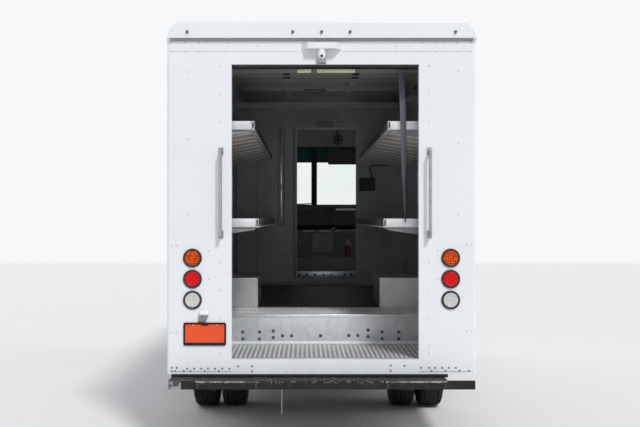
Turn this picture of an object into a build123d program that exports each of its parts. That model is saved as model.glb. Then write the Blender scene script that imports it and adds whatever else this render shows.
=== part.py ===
"""Walk-in step van with a roll-up rear door, empty, standing on its wheels.

Millimetres. +Y points forwards, +X to the kerb side, +Z up.
The origin is on the ground, under the middle of the whole vehicle.
"""
import math
import os

from build123d import *

os.makedirs("parts", exist_ok=True)

# Whole vehicle
wheelbase = 4000
rear_overhang = 2100
front_overhang = 725
rear_bumper_reach = 180
front_bumper_reach = 125
body_width = 2300
roof_top = 3223
skirt_bottom = 589
wall = 60
roof_corner_radius = 160
joint_gap = 0.3
running_clearance = 6
panel_gap = 4

overall_length = rear_bumper_reach + rear_overhang + wheelbase + front_overhang + front_bumper_reach
half_width = body_width / 2
inner_half = half_width - wall
rear_face_y = -overall_length / 2 + rear_bumper_reach
nose_y = overall_length / 2 - front_bumper_reach
rear_axle_y = rear_face_y + rear_overhang
front_axle_y = rear_axle_y + wheelbase

# Front end, seen from the side
front_corner_radius = 170
windshield_base_z = 1880
windshield_base_setback = 225
windshield_top_drop = 463
windshield_top_z = roof_top - windshield_top_drop
windshield_top_setback = 340
grille_top_z = 1330
brow_setback = 400
nose_lower_setback = 40
nose_lower_z = 720
hood_edge_radius = 70
brow_radius = 150

# Rear face
rear_frame_depth = 70
opening_left = -669
opening_right = 724
opening_bottom = 699
header_drop = 331
opening_top = roof_top - header_drop
cap_height = 137
cap_bottom_z = roof_top - cap_height
cap_proud = 32
cap_edge_radius = 30
rear_corner_radius = 22

# Roof
ceiling_drop = 178
ceiling_z = roof_top - ceiling_drop
roof_bow_width = 50
roof_bow_count = 8

# Floor
floor_z = 948
deck_thickness = 24
rear_tread_z = opening_bottom
rear_tread_depth = 950
tread_plate = 9
bearer_width = 60
bearer_count = 8
wheel_box_inner = 550
wheel_box_top = 1211
wheel_box_length = 930
box_sheet = 6

# Ladder frame
rail_outer = 430
rail_height = 180
rail_flange = 76
rail_sheet = 8
rail_top = rear_tread_z - tread_plate
rail_bottom = rail_top - rail_height
crossmember_count = 6
crossmember_length = 90

# Wheels
tyre_radius = 405
tyre_width = 225
bead_half = 85
rim_radius = 250
rim_sheet = 10
flange_height = 12
flange_width = 7
front_tyre_centre = 950
rear_tyre_outer = 1030
dual_spacing = 260
disc_thickness = 14
hand_hole_radius = 26
hand_hole_circle = 165
hand_hole_count = 8
hub_radius = 85
hub_bore = 35
hub_cap_length = 26
drum_radius = 205
drum_sheet = 14
drum_depth = 88
hub_step = 5
hub_nose = 20
rear_hub_proud = 78
rear_hub_reach = rear_tyre_outer + rear_hub_proud
front_disc_inset = 40
spindle_inset = 5

# Front axle and steering
kingpin_x = 850
kingpin_radius = 20
boss_radius = 45
boss_half_height = 50
lug_gap = 1
lug_thickness = 26
knuckle_web = 26
beam_height = 80
beam_width = 74
beam_recess = 20

# Rear axle
axle_tube_radius = 55
differential_radius = 165
pinion_radius = 60
pinion_reach = 240
pinion_y = rear_axle_y + pinion_reach
shaft_radius = 45
shaft_end_gap = 2.8

# Springs
spring_width = 70
leaf_thickness = 13
front_spring_x = 392
front_spring_length = 1180
front_leaf_count = 3
front_leaf_curve = 8000
rear_leaf_curve = 3200
rear_spring_x = 502
rear_spring_length = 1360
rear_leaf_count = 5
leaf_shortening = 0.78
hanger_sheet = 12

# Side doors
door_front_y_gap = 85
arch_radius = 470
door_width = 640
door_overlap = 12
door_thickness = 30
pocket_width = 45
door_opening_bottom = 649
door_head_drop = 443
door_opening_top = roof_top - door_head_drop
door_shoe_length = 60
door_shoe_inset = 60
window_margin = 95
window_bottom = 1700
window_head_margin = 140
window_top = door_opening_top - window_head_margin
glass_thickness = 6
door_post_width = 75

# Rear arches
rear_arch_half = 480
rear_arch_top = 900
rear_arch_radius = 140

# Bulkhead and its door
bulkhead_thickness = 30
doorway_left = -218
doorway_right = 484
doorway_bottom = 1115
doorway_head_drop = 417
doorway_top = roof_top - doorway_head_drop
bulkhead_door_lap = 14
bulkhead_door_width = doorway_right - doorway_left + 2 * bulkhead_door_lap
bulkhead_door_thickness = 28
bulkhead_door_bottom = 1010
bulkhead_door_head_lap = 24
bulkhead_door_top = doorway_top + bulkhead_door_head_lap
door_rail_height = 34
door_rail_lap = 20
pull_setback = 210
pull_width = 70
pull_low = 1670

# Shelves: lip x, lip bottom z
shelf_rows = [(512, 2428), (480, 1680)]
shelf_lip_height = 65
shelf_lip_width = 26
shelf_sheet = 10
shelf_slope = 10
shelf_rear_gap = 250
shelf_front_gap = 150
shelf_rib_depth = 34
shelf_rib_width = 40
shelf_rib_count = 12

# Roll-up door, parked under the roof
track_head_gap = 12
track_level = opening_top - track_head_gap
track_floor_gap = 5
track_bend_radius = 170
track_inner = 31
track_sheet = 4
track_width = 44
track_setback = 32
track_length = 2380
door_side_lap = 34
roll_panel_length = 288
roll_panel_gap = 10
roll_panel_count = 7
roll_panel_thickness = 32
roller_radius = 15
roller_reach = 34
roller_inset = 40
panel_hollow_margin = 60
panel_hollow_end = 30
panel_hollow_depth = 8
hanger_width = 30
hanger_count = 3
track_foot_width = 16
track_foot_height = 40
door_park_gap = 30

# Cab
cab_floor_setback = 260
cab_floor_front = nose_y - cab_floor_setback
well_width = 330
well_bottom = 640
well_sheet = 8
outer_step_z = 430
outer_step_thickness = 30
outer_step_width = 260
outer_step_length = 600
outer_step_inset = 20
step_arm_width = 30
step_arm_height = 50
cover_left = -320
cover_right = 520
cover_length = 850
cover_rear_y = cab_floor_front - cover_length
ledge_depth = 330
cover_ledge_y = cover_rear_y - ledge_depth
cover_rake = 40
cover_top = 1584
cover_ledge_top = 1290
cover_sheet = 14
dash_setback = 480
dash_rear_y = nose_y - dash_setback
dash_above_glass = 50
dash_top = windshield_base_z + dash_above_glass
dash_height = 330
dash_bottom = dash_top - dash_height
dash_sheet = 25
column_x = -600
wheel_to_dash = 440
wheel_centre_y = dash_rear_y - wheel_to_dash
wheel_centre_z = 1700
column_tilt = 30
column_radius = 28
steering_rim_radius = 220
steering_rim_tube = 15
steering_hub_radius = 38
steering_hub_length = 40
spoke_radius = 9
seat_x = column_x
seat_to_wheel = 640
seat_y = wheel_centre_y - seat_to_wheel
seat_width = 500
seat_depth = 470
seat_top = 1430
cushion_thickness = 110
cushion_overhang = 30
cushion_gap = 6
cushion_radius = 50
back_height = 620
back_thickness = 110
back_radius = 60
seat_post_radius = 60
seat_plate = 300
seat_plate_thickness = 12
seat_pan_thickness = 20
seat_strut_spacing = 240
seat_strut_width = 40
seat_strut_depth = 30

# Engine, seen from below and through the grille
engine_length = 800
engine_width = 520
engine_bottom = 545
engine_top = 1190
radiator_thickness = 60
fan_gap = 120

# Tank and exhaust, hung outside the rails
tank_width = 450
tank_gap = 20
tank_length = 900
tank_bottom = 420
tank_drop = 30
tank_radius = 60
hanging_start = 120
muffler_gap = 190
muffler_z = 500
muffler_length = 620
muffler_radius = 105
tail_radius = 35
tail_length = 550
strap_arm_width = 50

# Bumpers
rear_bumper_top = 565
rear_bumper_bottom = 500
rear_bumper_half = 1118
rear_bumper_gap = 8
bumper_sheet = 8
bumper_arm_width = 60
bumper_arm_height = 28
bumper_arm_reach = 200
tread_plate_end = 917
pad_spans = [(-925, -456), (462, 917)]
pad_depth = 14
pad_margin = 4
pad_edge_radius = 3
front_bumper_top = 700
front_bumper_bottom = 470
front_bumper_gap = 20
front_bumper_radius = 70
front_arm_reach = 260

# Lamps
lamp_x = 960
lamp_heights = [1452, 1296, 1140]
grommet_radius = 70
lens_radius = 55
lamp_depth = 24
lamp_proud = 9
marker_drop = 95
marker_z = roof_top - marker_drop
marker_places = [-996, -214, 0, 211, 992]
marker_radius = 10
marker_length = 14
headlamp_x = 760
headlamp_z = 1060
headlamp_radius = 95

# Handles
handle_places = [-748, 801]
handle_low = 1609
handle_high = 2263
handle_radius = 12
handle_standoff = 75
handle_foot = 18

# Mirrors
mirror_reach = 230
mirror_forward = 120
mirror_arm_radius = 11
mirror_foot_low = 1760
mirror_foot_drop = 240
mirror_foot_high = windshield_top_z - mirror_foot_drop
mirror_head_bottom = 1940
mirror_head_top = 2380
mirror_head_width = 180
mirror_head_front = 30
mirror_head_back = 35
mirror_elbow_gap = 80
mirror_setback = 60

# Reversing camera, under its own little roof
hood_head_gap = 16
hood_width = 300
hood_front_width = 210
hood_reach = 67
hood_sheet = 12
hood_skirt = 46
camera_hang = 141
camera_radius = 30
camera_arm_width = 60
camera_arm_drop = 26
camera_arm_reach = 45

# Pull strap and hanging wire
strap_x = 630
strap_width = 45
strap_thickness = 4
strap_reach = 1150
strap_setback = 215
strap_bracket = 12
wire_radius = 3
wire_x = -292
wire_route = [(0, 0, 0), (-0.5, -1, -32), (2, 2, -68), (-2, 1, -106), (0, -2, -146), (-1, 0, -178)]
hook_pin = 8
hook_width = 16


def block(x0, x1, y0, y1, z0, z1):
    """A box between two corners."""
    return Pos((x0 + x1) / 2, (y0 + y1) / 2, (z0 + z1) / 2) * Box(x1 - x0, y1 - y0, z1 - z0)


def rod(start, end, radius):
    """A round bar from one point to another."""
    path = Vector(*end) - Vector(*start)
    plane = Plane(origin=start, z_dir=path)
    return plane * Pos(0, 0, path.length / 2) * Cylinder(radius, path.length)


def side_prism(points, x0, x1):
    """A closed outline of (y, z) points, extruded along X."""
    wire = Polyline(*[(0, y, z) for y, z in points], close=True)
    solid = extrude(make_face(wire), amount=x1 - x0, dir=(1, 0, 0))
    return Pos(x0, 0, 0) * solid


def cross_prism(points, y0, y1):
    """A closed outline of (x, z) points, extruded along Y."""
    wire = Polyline(*[(x, 0, z) for x, z in points], close=True)
    solid = extrude(make_face(wire), amount=y1 - y0, dir=(0, 1, 0))
    return Pos(0, y0, 0) * solid


def plan_prism(points, z0, z1):
    """A closed outline of (x, y) points, extruded along Z."""
    wire = Polyline(*[(x, y, 0) for x, y in points], close=True)
    solid = extrude(make_face(wire), amount=z1 - z0, dir=(0, 0, 1))
    return Pos(0, 0, z0) * solid


def turned(profile, y, z):
    """An outline of (x, radius) points, revolved about an axis along X at y, z."""
    wire = Polyline(*[(x, r) for x, r in profile], close=True)
    return Pos(0, y, z) * revolve(make_face(wire), axis=Axis.X)


def spaced(count, low, high):
    """Evenly spaced values from low to high."""
    return [low + (high - low) * i / (count - 1) for i in range(count)]


def joined(pieces):
    """One shape from a list of pieces."""
    shape = pieces[0]
    for piece in pieces[1:]:
        shape = shape + piece
    return shape


def group(pieces):
    """Separate pieces kept together as one node."""
    return Compound(children=list(pieces))


def write(name, shape):
    """Write one node."""
    export_step(shape, f"parts/{name}.step")


def flip(shape):
    """The same shape on the other side of the vehicle."""
    return mirror(shape, about=Plane.YZ)


# Body envelope: side view, plan view and cross-section cut each other

front_profile = [
    (nose_y - nose_lower_setback, skirt_bottom),
    (nose_y, nose_lower_z),
    (nose_y, grille_top_z),
    (nose_y - windshield_base_setback, windshield_base_z),
    (nose_y - windshield_top_setback, windshield_top_z),
    (nose_y - brow_setback, roof_top),
]


def envelope(inset):
    """The outer body moved inwards by inset, open downwards and to the rear."""
    far_rear = rear_face_y - 500
    low = skirt_bottom - 300
    dy = inset
    pts = [(far_rear, low), (front_profile[0][0] - dy, low)]
    pts += [(y - dy, z) for y, z in front_profile[:-1]]
    pts += [(nose_y - brow_setback - dy, roof_top - inset), (far_rear, roof_top - inset)]
    side = side_prism(pts, -half_width - 10, half_width + 10)
    hood_edges = side.edges().filter_by(Axis.X).filter_by(
        lambda e: abs(e.center().Z - grille_top_z) < 1 and e.center().Y > nose_y - 200)
    side = fillet(hood_edges, hood_edge_radius)
    brow_edges = side.edges().filter_by(Axis.X).filter_by(
        lambda e: e.center().Z > roof_top - inset - 1 and e.center().Y > 0)
    side = fillet(brow_edges, brow_radius - inset)
    across = block(-half_width + inset, half_width - inset, far_rear, nose_y, low, roof_top - inset)
    long_edges = across.edges().filter_by(Axis.Y).group_by(Axis.Z)[-1]
    across = fillet(long_edges, roof_corner_radius - inset)
    plan = block(-half_width + inset, half_width - inset, far_rear, nose_y - dy, low, roof_top)
    corners = plan.edges().filter_by(Axis.Z).group_by(Axis.Y)[-1]
    plan = fillet(corners, front_corner_radius - inset)
    return side & across & plan


outer = envelope(0)
inner = envelope(wall)
shell_box = block(-half_width, half_width, rear_face_y + rear_frame_depth, nose_y, skirt_bottom, roof_top)
shell = (outer & shell_box) - inner

eaves_z = roof_top - roof_corner_radius
side_front_y = nose_y - brow_setback - 60
arch_rear_y = front_axle_y - arch_radius
door_front_y = arch_rear_y - door_front_y_gap
door_rear_y = door_front_y - door_width
bulkhead_y = door_rear_y - door_post_width
pocket_rear_y = door_rear_y - door_width - door_overlap - running_clearance
pocket_outer = half_width - (wall - pocket_width) / 2
pocket_inner = pocket_outer - pocket_width
door_outer = (pocket_outer + pocket_inner + door_thickness) / 2
door_inner = door_outer - door_thickness
door_low = door_opening_bottom - door_overlap + 3
door_high = door_opening_top + door_overlap


def arch_cut(y, half_length, top, radius, x0, x1):
    """A wheel opening with rounded upper corners."""
    cut = block(x0, x1, y - half_length, y + half_length, skirt_bottom - 50, top)
    edges = cut.edges().filter_by(Axis.X).group_by(Axis.Z)[-1]
    return fillet(edges, radius)


def body_side():
    """Right wall of the cargo space and cab, with its pocket for the sliding door."""
    region = block(0, half_width, rear_face_y + rear_frame_depth, side_front_y, skirt_bottom, eaves_z)
    side = shell & region
    side -= arch_cut(rear_axle_y, rear_arch_half, rear_arch_top, rear_arch_radius, inner_half - 5, half_width + 5)
    side -= arch_cut(front_axle_y, arch_radius, floor_z - deck_thickness, arch_radius * 0.55,
                     inner_half - 200, half_width + 5)
    side -= block(inner_half - 5, half_width + 5, door_rear_y, door_front_y, door_opening_bottom, door_opening_top)
    side -= block(pocket_inner, pocket_outer, pocket_rear_y, door_front_y + door_overlap + running_clearance,
                  door_low - running_clearance, door_high + running_clearance)
    return side


write("body_side_right", body_side())
write("body_side_left", flip(body_side()))


def rear_cap():
    """Moulded cap round the top rear edge, proud of the rear face."""
    rear_edge = rear_face_y - cap_proud
    pts = [(rear_face_y + rear_frame_depth, roof_top), (rear_edge, roof_top),
           (rear_edge, cap_bottom_z), (rear_face_y, eaves_z), (rear_face_y + rear_frame_depth, eaves_z)]
    cap = side_prism(pts, -half_width, half_width)
    edge = cap.edges().filter_by(Axis.X).group_by(Axis.Y)[0].group_by(Axis.Z)[-1]
    cap = fillet(edge, cap_edge_radius)
    return cap & outer


def roof():
    """Roof skin and the rear cap."""
    region = block(-half_width, half_width, rear_face_y + rear_frame_depth, nose_y, eaves_z, roof_top)
    front_cut = block(-half_width, half_width, side_front_y, nose_y, eaves_z - 1, roof_top + 1)
    return (shell & region) - front_cut + rear_cap()


def bow_places():
    """Where the roof bows sit along the cargo space."""
    first_bow = rear_face_y + rear_frame_depth + roof_bow_width
    return spaced(roof_bow_count, first_bow, bulkhead_y - roof_bow_width * 1.5)


def roof_bow(y):
    """One deep bow, rounded at its ends to the skin above it."""
    bow = block(-inner_half, inner_half, y - roof_bow_width / 2, y + roof_bow_width / 2, ceiling_z, roof_top)
    return bow & inner


write("roof", roof())
write("roof_bows", group([roof_bow(y) for y in bow_places()]))


def rear_frame():
    """Rear portal: pillars, header and sill round the roll-up door opening."""
    face = block(-half_width, half_width, rear_face_y, rear_face_y + rear_frame_depth, skirt_bottom, eaves_z)
    face = fillet(face.edges().filter_by(Axis.Z).group_by(Axis.Y)[0], rear_corner_radius)
    face -= block(opening_left, opening_right, rear_face_y - 5, rear_face_y + rear_frame_depth + 5,
                  opening_bottom, opening_top)
    for side in (-1, 1):
        for z in lamp_heights:
            face -= Pos(side * lamp_x, rear_face_y + lamp_depth / 2, z) * Rot(90, 0, 0) * Cylinder(
                grommet_radius + joint_gap - 8, lamp_depth)
    return face


write("rear_frame", rear_frame())

# Front shell, its hood panel, grille and glass
engine_front_y = nose_y - wall - 50 - radiator_thickness - fan_gap
engine_rear_y = engine_front_y - engine_length
hood_half = 620
hood_thickness = 30
hood_landing = 24
hood_low_z = grille_top_z + 40
hood_high_z = windshield_base_z - 60
grille_half = 470
grille_low_z = 780
grille_high_z = grille_top_z - 50
post_half = 32
glass_half = 1010
glass_low_z = windshield_base_z + 20
glass_high_z = windshield_top_z - 50
grille_bar_count = 9
grille_bar_height = 16
grille_depth = 44


def hood_region(gap):
    return block(-hood_half + gap, hood_half - gap, side_front_y, nose_y + 5, hood_low_z + gap, hood_high_z - gap)


def windshield_regions():
    return [block(x0, x1, side_front_y + 60, nose_y, glass_low_z, glass_high_z)
            for x0, x1 in ((-glass_half, -post_half), (post_half, glass_half))]


def front_shell():
    """Nose, windshield frame and brow."""
    region = block(-half_width, half_width, side_front_y, nose_y, skirt_bottom, roof_top)
    front = shell & region
    for side in (-1, 1):
        low_x, high_x = sorted((side * (inner_half - 200), side * (half_width + 5)))
        front -= arch_cut(front_axle_y, arch_radius, floor_z - deck_thickness, arch_radius * 0.55, low_x, high_x)
        front -= Pos(side * headlamp_x, nose_y - wall / 2, headlamp_z) * Rot(90, 0, 0) * Cylinder(
            headlamp_radius, wall + 20)
    front -= hood_region(0) & (outer - envelope(hood_thickness + joint_gap))
    front -= hood_region(hood_landing)
    front -= block(-grille_half, grille_half, nose_y - wall - 20, nose_y + 5, grille_low_z, grille_high_z)
    for pane in windshield_regions():
        front -= pane
    return front


write("front_shell", front_shell())
write("hood", (outer - envelope(hood_thickness)) & hood_region(panel_gap / 2))

panes = (envelope(wall / 2) - envelope(wall / 2 + glass_thickness))
write("windshield", group([panes & region for region in windshield_regions()]))


def grille():
    """Louvred grille: a rim and level bars."""
    back = nose_y - grille_depth
    rim = block(-grille_half, grille_half, back, nose_y, grille_low_z, grille_high_z)
    rim -= block(-grille_half + 28, grille_half - 28, back - 5, nose_y + 5, grille_low_z + 28, grille_high_z - 28)
    bars = [rim]
    for z in spaced(grille_bar_count, grille_low_z + 70, grille_high_z - 70):
        bars.append(side_prism([(back + 4, z), (nose_y - 4, z - 10), (nose_y - 4, z - 10 + grille_bar_height),
                                (back + 4, z + grille_bar_height)], -grille_half + 20, grille_half - 20))
    bars.append(block(-12, 12, back + 2, nose_y - 6, grille_low_z + 10, grille_high_z - 10))
    return joined(bars)


write("grille", grille())


def headlamp(side):
    """Round sealed lamp with its bezel."""
    profile = [(-wall - 30, 30), (-wall + 10, headlamp_radius - 20), (-20, headlamp_radius - joint_gap),
               (0, headlamp_radius - joint_gap), (6, headlamp_radius - 20), (14, 0), (-wall - 30, 0)]
    wire = Polyline(*[(x, r) for x, r in profile], close=True)
    lamp = revolve(make_face(wire), axis=Axis.X)
    return Pos(side * headlamp_x, nose_y, headlamp_z) * Rot(0, 0, 90) * lamp


write("headlamps", group([headlamp(-1), headlamp(1)]))


# Ladder frame

def rail(side):
    """C-section rail, open towards the middle."""
    x_out = side * rail_outer
    x_in = side * (rail_outer - rail_flange)
    low_x, high_x = sorted((x_out, x_in))
    y0 = rear_face_y + rear_frame_depth
    y1 = nose_y - nose_lower_setback - wall - panel_gap
    body = block(low_x, high_x, y0, y1, rail_bottom, rail_top)
    cut_low, cut_high = sorted((side * (rail_outer - rail_sheet), side * (rail_outer - rail_flange - 5)))
    return body - block(cut_low, cut_high, y0 - 5, y1 + 5, rail_bottom + rail_sheet, rail_top - rail_sheet)


def chassis():
    """Rails, crossmembers, spring hangers and floor outriggers."""
    pieces = [rail(-1), rail(1)]
    web_in = rail_outer - rail_sheet
    for y in spaced(crossmember_count, rear_face_y + 120, bulkhead_y + 350):
        top = rail_top - rail_sheet
        low = rail_bottom + rail_sheet
        beam = block(-web_in, web_in, y - crossmember_length / 2, y + crossmember_length / 2, top - 60, top)
        if y < rear_axle_y - differential_radius - crossmember_length:
            beam = block(-web_in, web_in, y - crossmember_length / 2, y + crossmember_length / 2, low + 30, top)
        pieces.append(beam)
    pieces.append(block(-web_in, web_in, nose_y - 190, nose_y - 130, rail_bottom + 20, rail_bottom + 90))
    for side in (-1, 1):
        for y, x, length in ((front_axle_y, front_spring_x, front_spring_length),
                             (rear_axle_y, rear_spring_x, rear_spring_length)):
            for end in (-1, 1):
                eye_y = y + end * length / 2
                low_x, high_x = sorted((side * (x - spring_width / 2), side * (x + spring_width / 2)))
                hanger_top = rail_bottom + rail_sheet
                if x > rail_outer:
                    low_x, high_x = sorted((side * rail_outer, side * (x + spring_width / 2)))
                    hanger_top = rail_top - hanger_sheet
                pieces.append(block(low_x, high_x, eye_y - 40, eye_y + 40, eye_top(y), hanger_top))
    return joined(pieces)


def spring_seat_z(axle_y):
    """Height of the lowest leaf's underside at the axle."""
    if axle_y == front_axle_y:
        return tyre_radius + beam_height / 2 + joint_gap
    return tyre_radius + axle_tube_radius + hanger_sheet + joint_gap


def spring_data(axle_y):
    if axle_y == front_axle_y:
        return front_spring_x, front_spring_length, front_leaf_count, front_leaf_curve
    return rear_spring_x, rear_spring_length, rear_leaf_count, rear_leaf_curve


def eye_top(axle_y):
    """Top of the main leaf at its ends, where the hanger takes it."""
    x, length, count, curve = spring_data(axle_y)
    rise = curve - math.sqrt(curve ** 2 - (length / 2) ** 2)
    return spring_seat_z(axle_y) + count * leaf_thickness + rise + joint_gap


def leaf(axle_y, side, number):
    """One leaf, number 0 at the top, curved up to its ends."""
    x, length, count, curve = spring_data(axle_y)
    half = length / 2 * leaf_shortening ** number
    top_z = spring_seat_z(axle_y) + (count - number) * leaf_thickness
    centre_z = spring_seat_z(axle_y) + count * leaf_thickness + curve
    outer_r = centre_z - top_z + leaf_thickness
    inner_r = centre_z - top_z
    angle = math.asin(half / curve)

    def point(radius, a):
        return (0, axle_y + radius * math.sin(a), centre_z - radius * math.cos(a))

    edges = [ThreePointArc(point(outer_r, -angle), point(outer_r, 0), point(outer_r, angle)),
             Line(point(outer_r, angle), point(inner_r, angle)),
             ThreePointArc(point(inner_r, angle), point(inner_r, 0), point(inner_r, -angle)),
             Line(point(inner_r, -angle), point(outer_r, -angle))]
    face = make_face(edges)
    low_x = side * x - spring_width / 2
    return Pos(low_x, 0, 0) * extrude(face, amount=spring_width, dir=(1, 0, 0))


def springs():
    """Four leaf packs, each with its centre clamp."""
    packs = []
    for axle_y in (front_axle_y, rear_axle_y):
        x, length, count, curve = spring_data(axle_y)
        for side in (-1, 1):
            pack = joined([leaf(axle_y, side, n) for n in range(count)])
            base = spring_seat_z(axle_y)
            clamp_top = base + count * leaf_thickness + 14
            for end in (-1, 1):
                y = axle_y + end * 55
                pack += block(side * x - spring_width / 2 - 10, side * x + spring_width / 2 + 10,
                              y - 8, y + 8, base, clamp_top)
            packs.append(pack)
    return group(packs)


write("chassis_frame", chassis())
write("leaf_springs", springs())


# Floors

deck_rear_y = rear_face_y + rear_tread_depth
deck_front_y = bulkhead_y


def cargo_floor():
    """Cargo deck, cut out over the rear wheels."""
    deck = block(-inner_half, inner_half, deck_rear_y, deck_front_y, floor_z - deck_thickness, floor_z)
    for side in (-1, 1):
        low_x, high_x = sorted((side * wheel_box_inner, side * (inner_half + 5)))
        deck -= block(low_x, high_x, rear_axle_y - wheel_box_length / 2, rear_axle_y + wheel_box_length / 2,
                      floor_z - deck_thickness - 5, floor_z + 5)
    return deck


def floor_bearers():
    """Cross bearers between the rails and the deck, short between the wheel boxes."""
    bearers = []
    for y in spaced(bearer_count, deck_rear_y + bearer_width, deck_front_y - bearer_width):
        under = abs(y - rear_axle_y) < wheel_box_length / 2 + bearer_width
        reach = wheel_box_inner if under else inner_half
        bearers.append(block(-reach, reach, y - bearer_width / 2, y + bearer_width / 2,
                             rail_top, floor_z - deck_thickness))
    return group(bearers)


write("cargo_floor", cargo_floor())
write("floor_bearers", floor_bearers())


def rear_step():
    """Low tread behind the opening and the riser up to the cargo deck."""
    y0 = rear_face_y + rear_frame_depth
    y1 = rear_face_y + rear_tread_depth
    tread = block(-inner_half, inner_half, y0, y1, rear_tread_z - tread_plate, rear_tread_z)
    tread += block(-inner_half, inner_half, y1 - box_sheet, y1, rear_tread_z - tread_plate, floor_z)
    return tread


write("rear_step", rear_step())


def wheel_box(side):
    """Sheet box over a pair of rear wheels."""
    low_x, high_x = sorted((side * wheel_box_inner, side * inner_half))
    y0 = rear_axle_y - wheel_box_length / 2
    y1 = rear_axle_y + wheel_box_length / 2
    box = block(low_x, high_x, y0, y1, floor_z - deck_thickness, wheel_box_top)
    in_low, in_high = sorted((side * (wheel_box_inner + box_sheet), side * (inner_half + 5)))
    return box - block(in_low, in_high, y0 + box_sheet, y1 - box_sheet, floor_z - deck_thickness - 5,
                       wheel_box_top - box_sheet)


write("wheel_boxes", group([wheel_box(-1), wheel_box(1)]))


# Bulkhead
bulkhead_door_left = doorway_left - bulkhead_door_lap - bulkhead_door_width


def bulkhead():
    """Wall between cargo space and cab, with its doorway and the door's rails."""
    panel = block(-inner_half, inner_half, bulkhead_y, bulkhead_y + bulkhead_thickness,
                  floor_z - deck_thickness, roof_top)
    panel = panel & inner
    panel -= block(doorway_left, doorway_right, bulkhead_y - 5, bulkhead_y + bulkhead_thickness + 5,
                   doorway_bottom, doorway_top)
    rail_y = bulkhead_y - running_clearance - bulkhead_door_thickness
    x0 = bulkhead_door_left - door_rail_lap
    x1 = doorway_right + bulkhead_door_lap + door_rail_lap
    for low, high in ((bulkhead_door_top + joint_gap, bulkhead_door_top + door_rail_height),
                      (bulkhead_door_bottom - door_rail_height, bulkhead_door_bottom - joint_gap)):
        panel += block(x0, x1, rail_y - 10, bulkhead_y, low, high)
    return panel


write("bulkhead", bulkhead())


def bulkhead_door():
    """Narrow sliding leaf, parked to the left of the doorway."""
    y1 = bulkhead_y - running_clearance
    y0 = y1 - bulkhead_door_thickness
    leaf_panel = block(bulkhead_door_left, bulkhead_door_left + bulkhead_door_width, y0, y1,
                       bulkhead_door_bottom, bulkhead_door_top)
    pull_x = bulkhead_door_left + bulkhead_door_width - pull_setback
    return leaf_panel - block(pull_x, pull_x + pull_width, y0 - 5, y0 + bulkhead_door_thickness / 2,
                              pull_low, bulkhead_door_top + 5)


write("bulkhead_door", bulkhead_door())


# Sliding side doors

def side_door():
    """Right cab door leaf with its window cut and its guide shoes."""
    y0 = door_rear_y - door_overlap
    y1 = door_front_y + door_overlap
    leaf_panel = block(door_inner, door_outer, y0, y1, door_low, door_high)
    leaf_panel -= block(door_inner - 5, door_outer + 5, door_rear_y + window_margin, door_front_y - window_margin,
                        window_bottom, window_top)
    for y in (y0 + door_shoe_inset, y1 - door_shoe_inset - door_shoe_length):
        leaf_panel += block(door_inner + 8, door_outer - 8, y, y + door_shoe_length,
                            door_low - running_clearance + joint_gap, door_low)
        leaf_panel += block(door_inner + 8, door_outer - 8, y, y + door_shoe_length,
                            door_high, door_high + running_clearance - joint_gap)
    return leaf_panel


def side_door_glass():
    middle = (door_inner + door_outer) / 2
    return block(middle - glass_thickness / 2, middle + glass_thickness / 2, door_rear_y + window_margin,
                 door_front_y - window_margin, window_bottom, window_top)


write("side_door_right", side_door())
write("side_door_left", flip(side_door()))
write("door_glass_right", side_door_glass())
write("door_glass_left", flip(side_door_glass()))


# Cab floor, covers and controls

def cab_floor():
    """Cab deck with a step well at each door."""
    y0 = bulkhead_y + bulkhead_thickness
    deck = block(-inner_half, inner_half, y0, cab_floor_front, floor_z - deck_thickness, floor_z)
    for y in (y0 + 320, arch_rear_y + 40, cab_floor_front - 60):
        deck += block(-rail_outer, rail_outer, y - bearer_width / 2, y + bearer_width / 2,
                      rail_top, floor_z - deck_thickness)
    deck -= block(cover_left + cover_sheet, cover_right - cover_sheet, cover_rear_y + cover_sheet,
                  cab_floor_front + 5, rail_top - 5, floor_z + 5)
    for side in (-1, 1):
        low_x, high_x = sorted((side * (inner_half - well_width), side * (inner_half + 5)))
        deck -= block(low_x, high_x, door_rear_y, door_front_y, floor_z - deck_thickness - 5, floor_z + 5)
        out_low, out_high = sorted((side * (inner_half - well_width - well_sheet), side * inner_half))
        well = block(out_low, out_high, door_rear_y - well_sheet, door_front_y + well_sheet,
                     well_bottom - well_sheet, floor_z - deck_thickness)
        deck += well - block(low_x, high_x, door_rear_y, door_front_y, well_bottom, floor_z)
    return deck


write("cab_floor", cab_floor())


def outer_step(side):
    """Low step hung under the door on two arms from the frame."""
    middle = (door_rear_y + door_front_y) / 2
    y0 = middle - outer_step_length / 2
    y1 = middle + outer_step_length / 2
    step_in = half_width - outer_step_width
    low_x, high_x = sorted((side * step_in, side * (half_width - outer_step_inset)))
    step_low = outer_step_z - outer_step_thickness
    step = block(low_x, high_x, y0, y1, step_low, outer_step_z)
    arm_low, arm_high = sorted((side * rail_outer, side * (step_in + outer_step_inset)))
    foot_low, foot_high = sorted((side * step_in, side * (step_in + outer_step_inset)))
    arm_z = (rail_bottom + rail_top - rail_height / 2) / 2
    for y in (y0 + 2 * step_arm_width, y1 - 3 * step_arm_width):
        step += block(arm_low, arm_high, y, y + step_arm_width, arm_z - step_arm_height / 2, arm_z + step_arm_height / 2)
        step += block(foot_low, foot_high, y, y + step_arm_width, step_low, arm_z + step_arm_height / 2)
    return step


write("cab_steps", group([outer_step(-1), outer_step(1)]))


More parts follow.
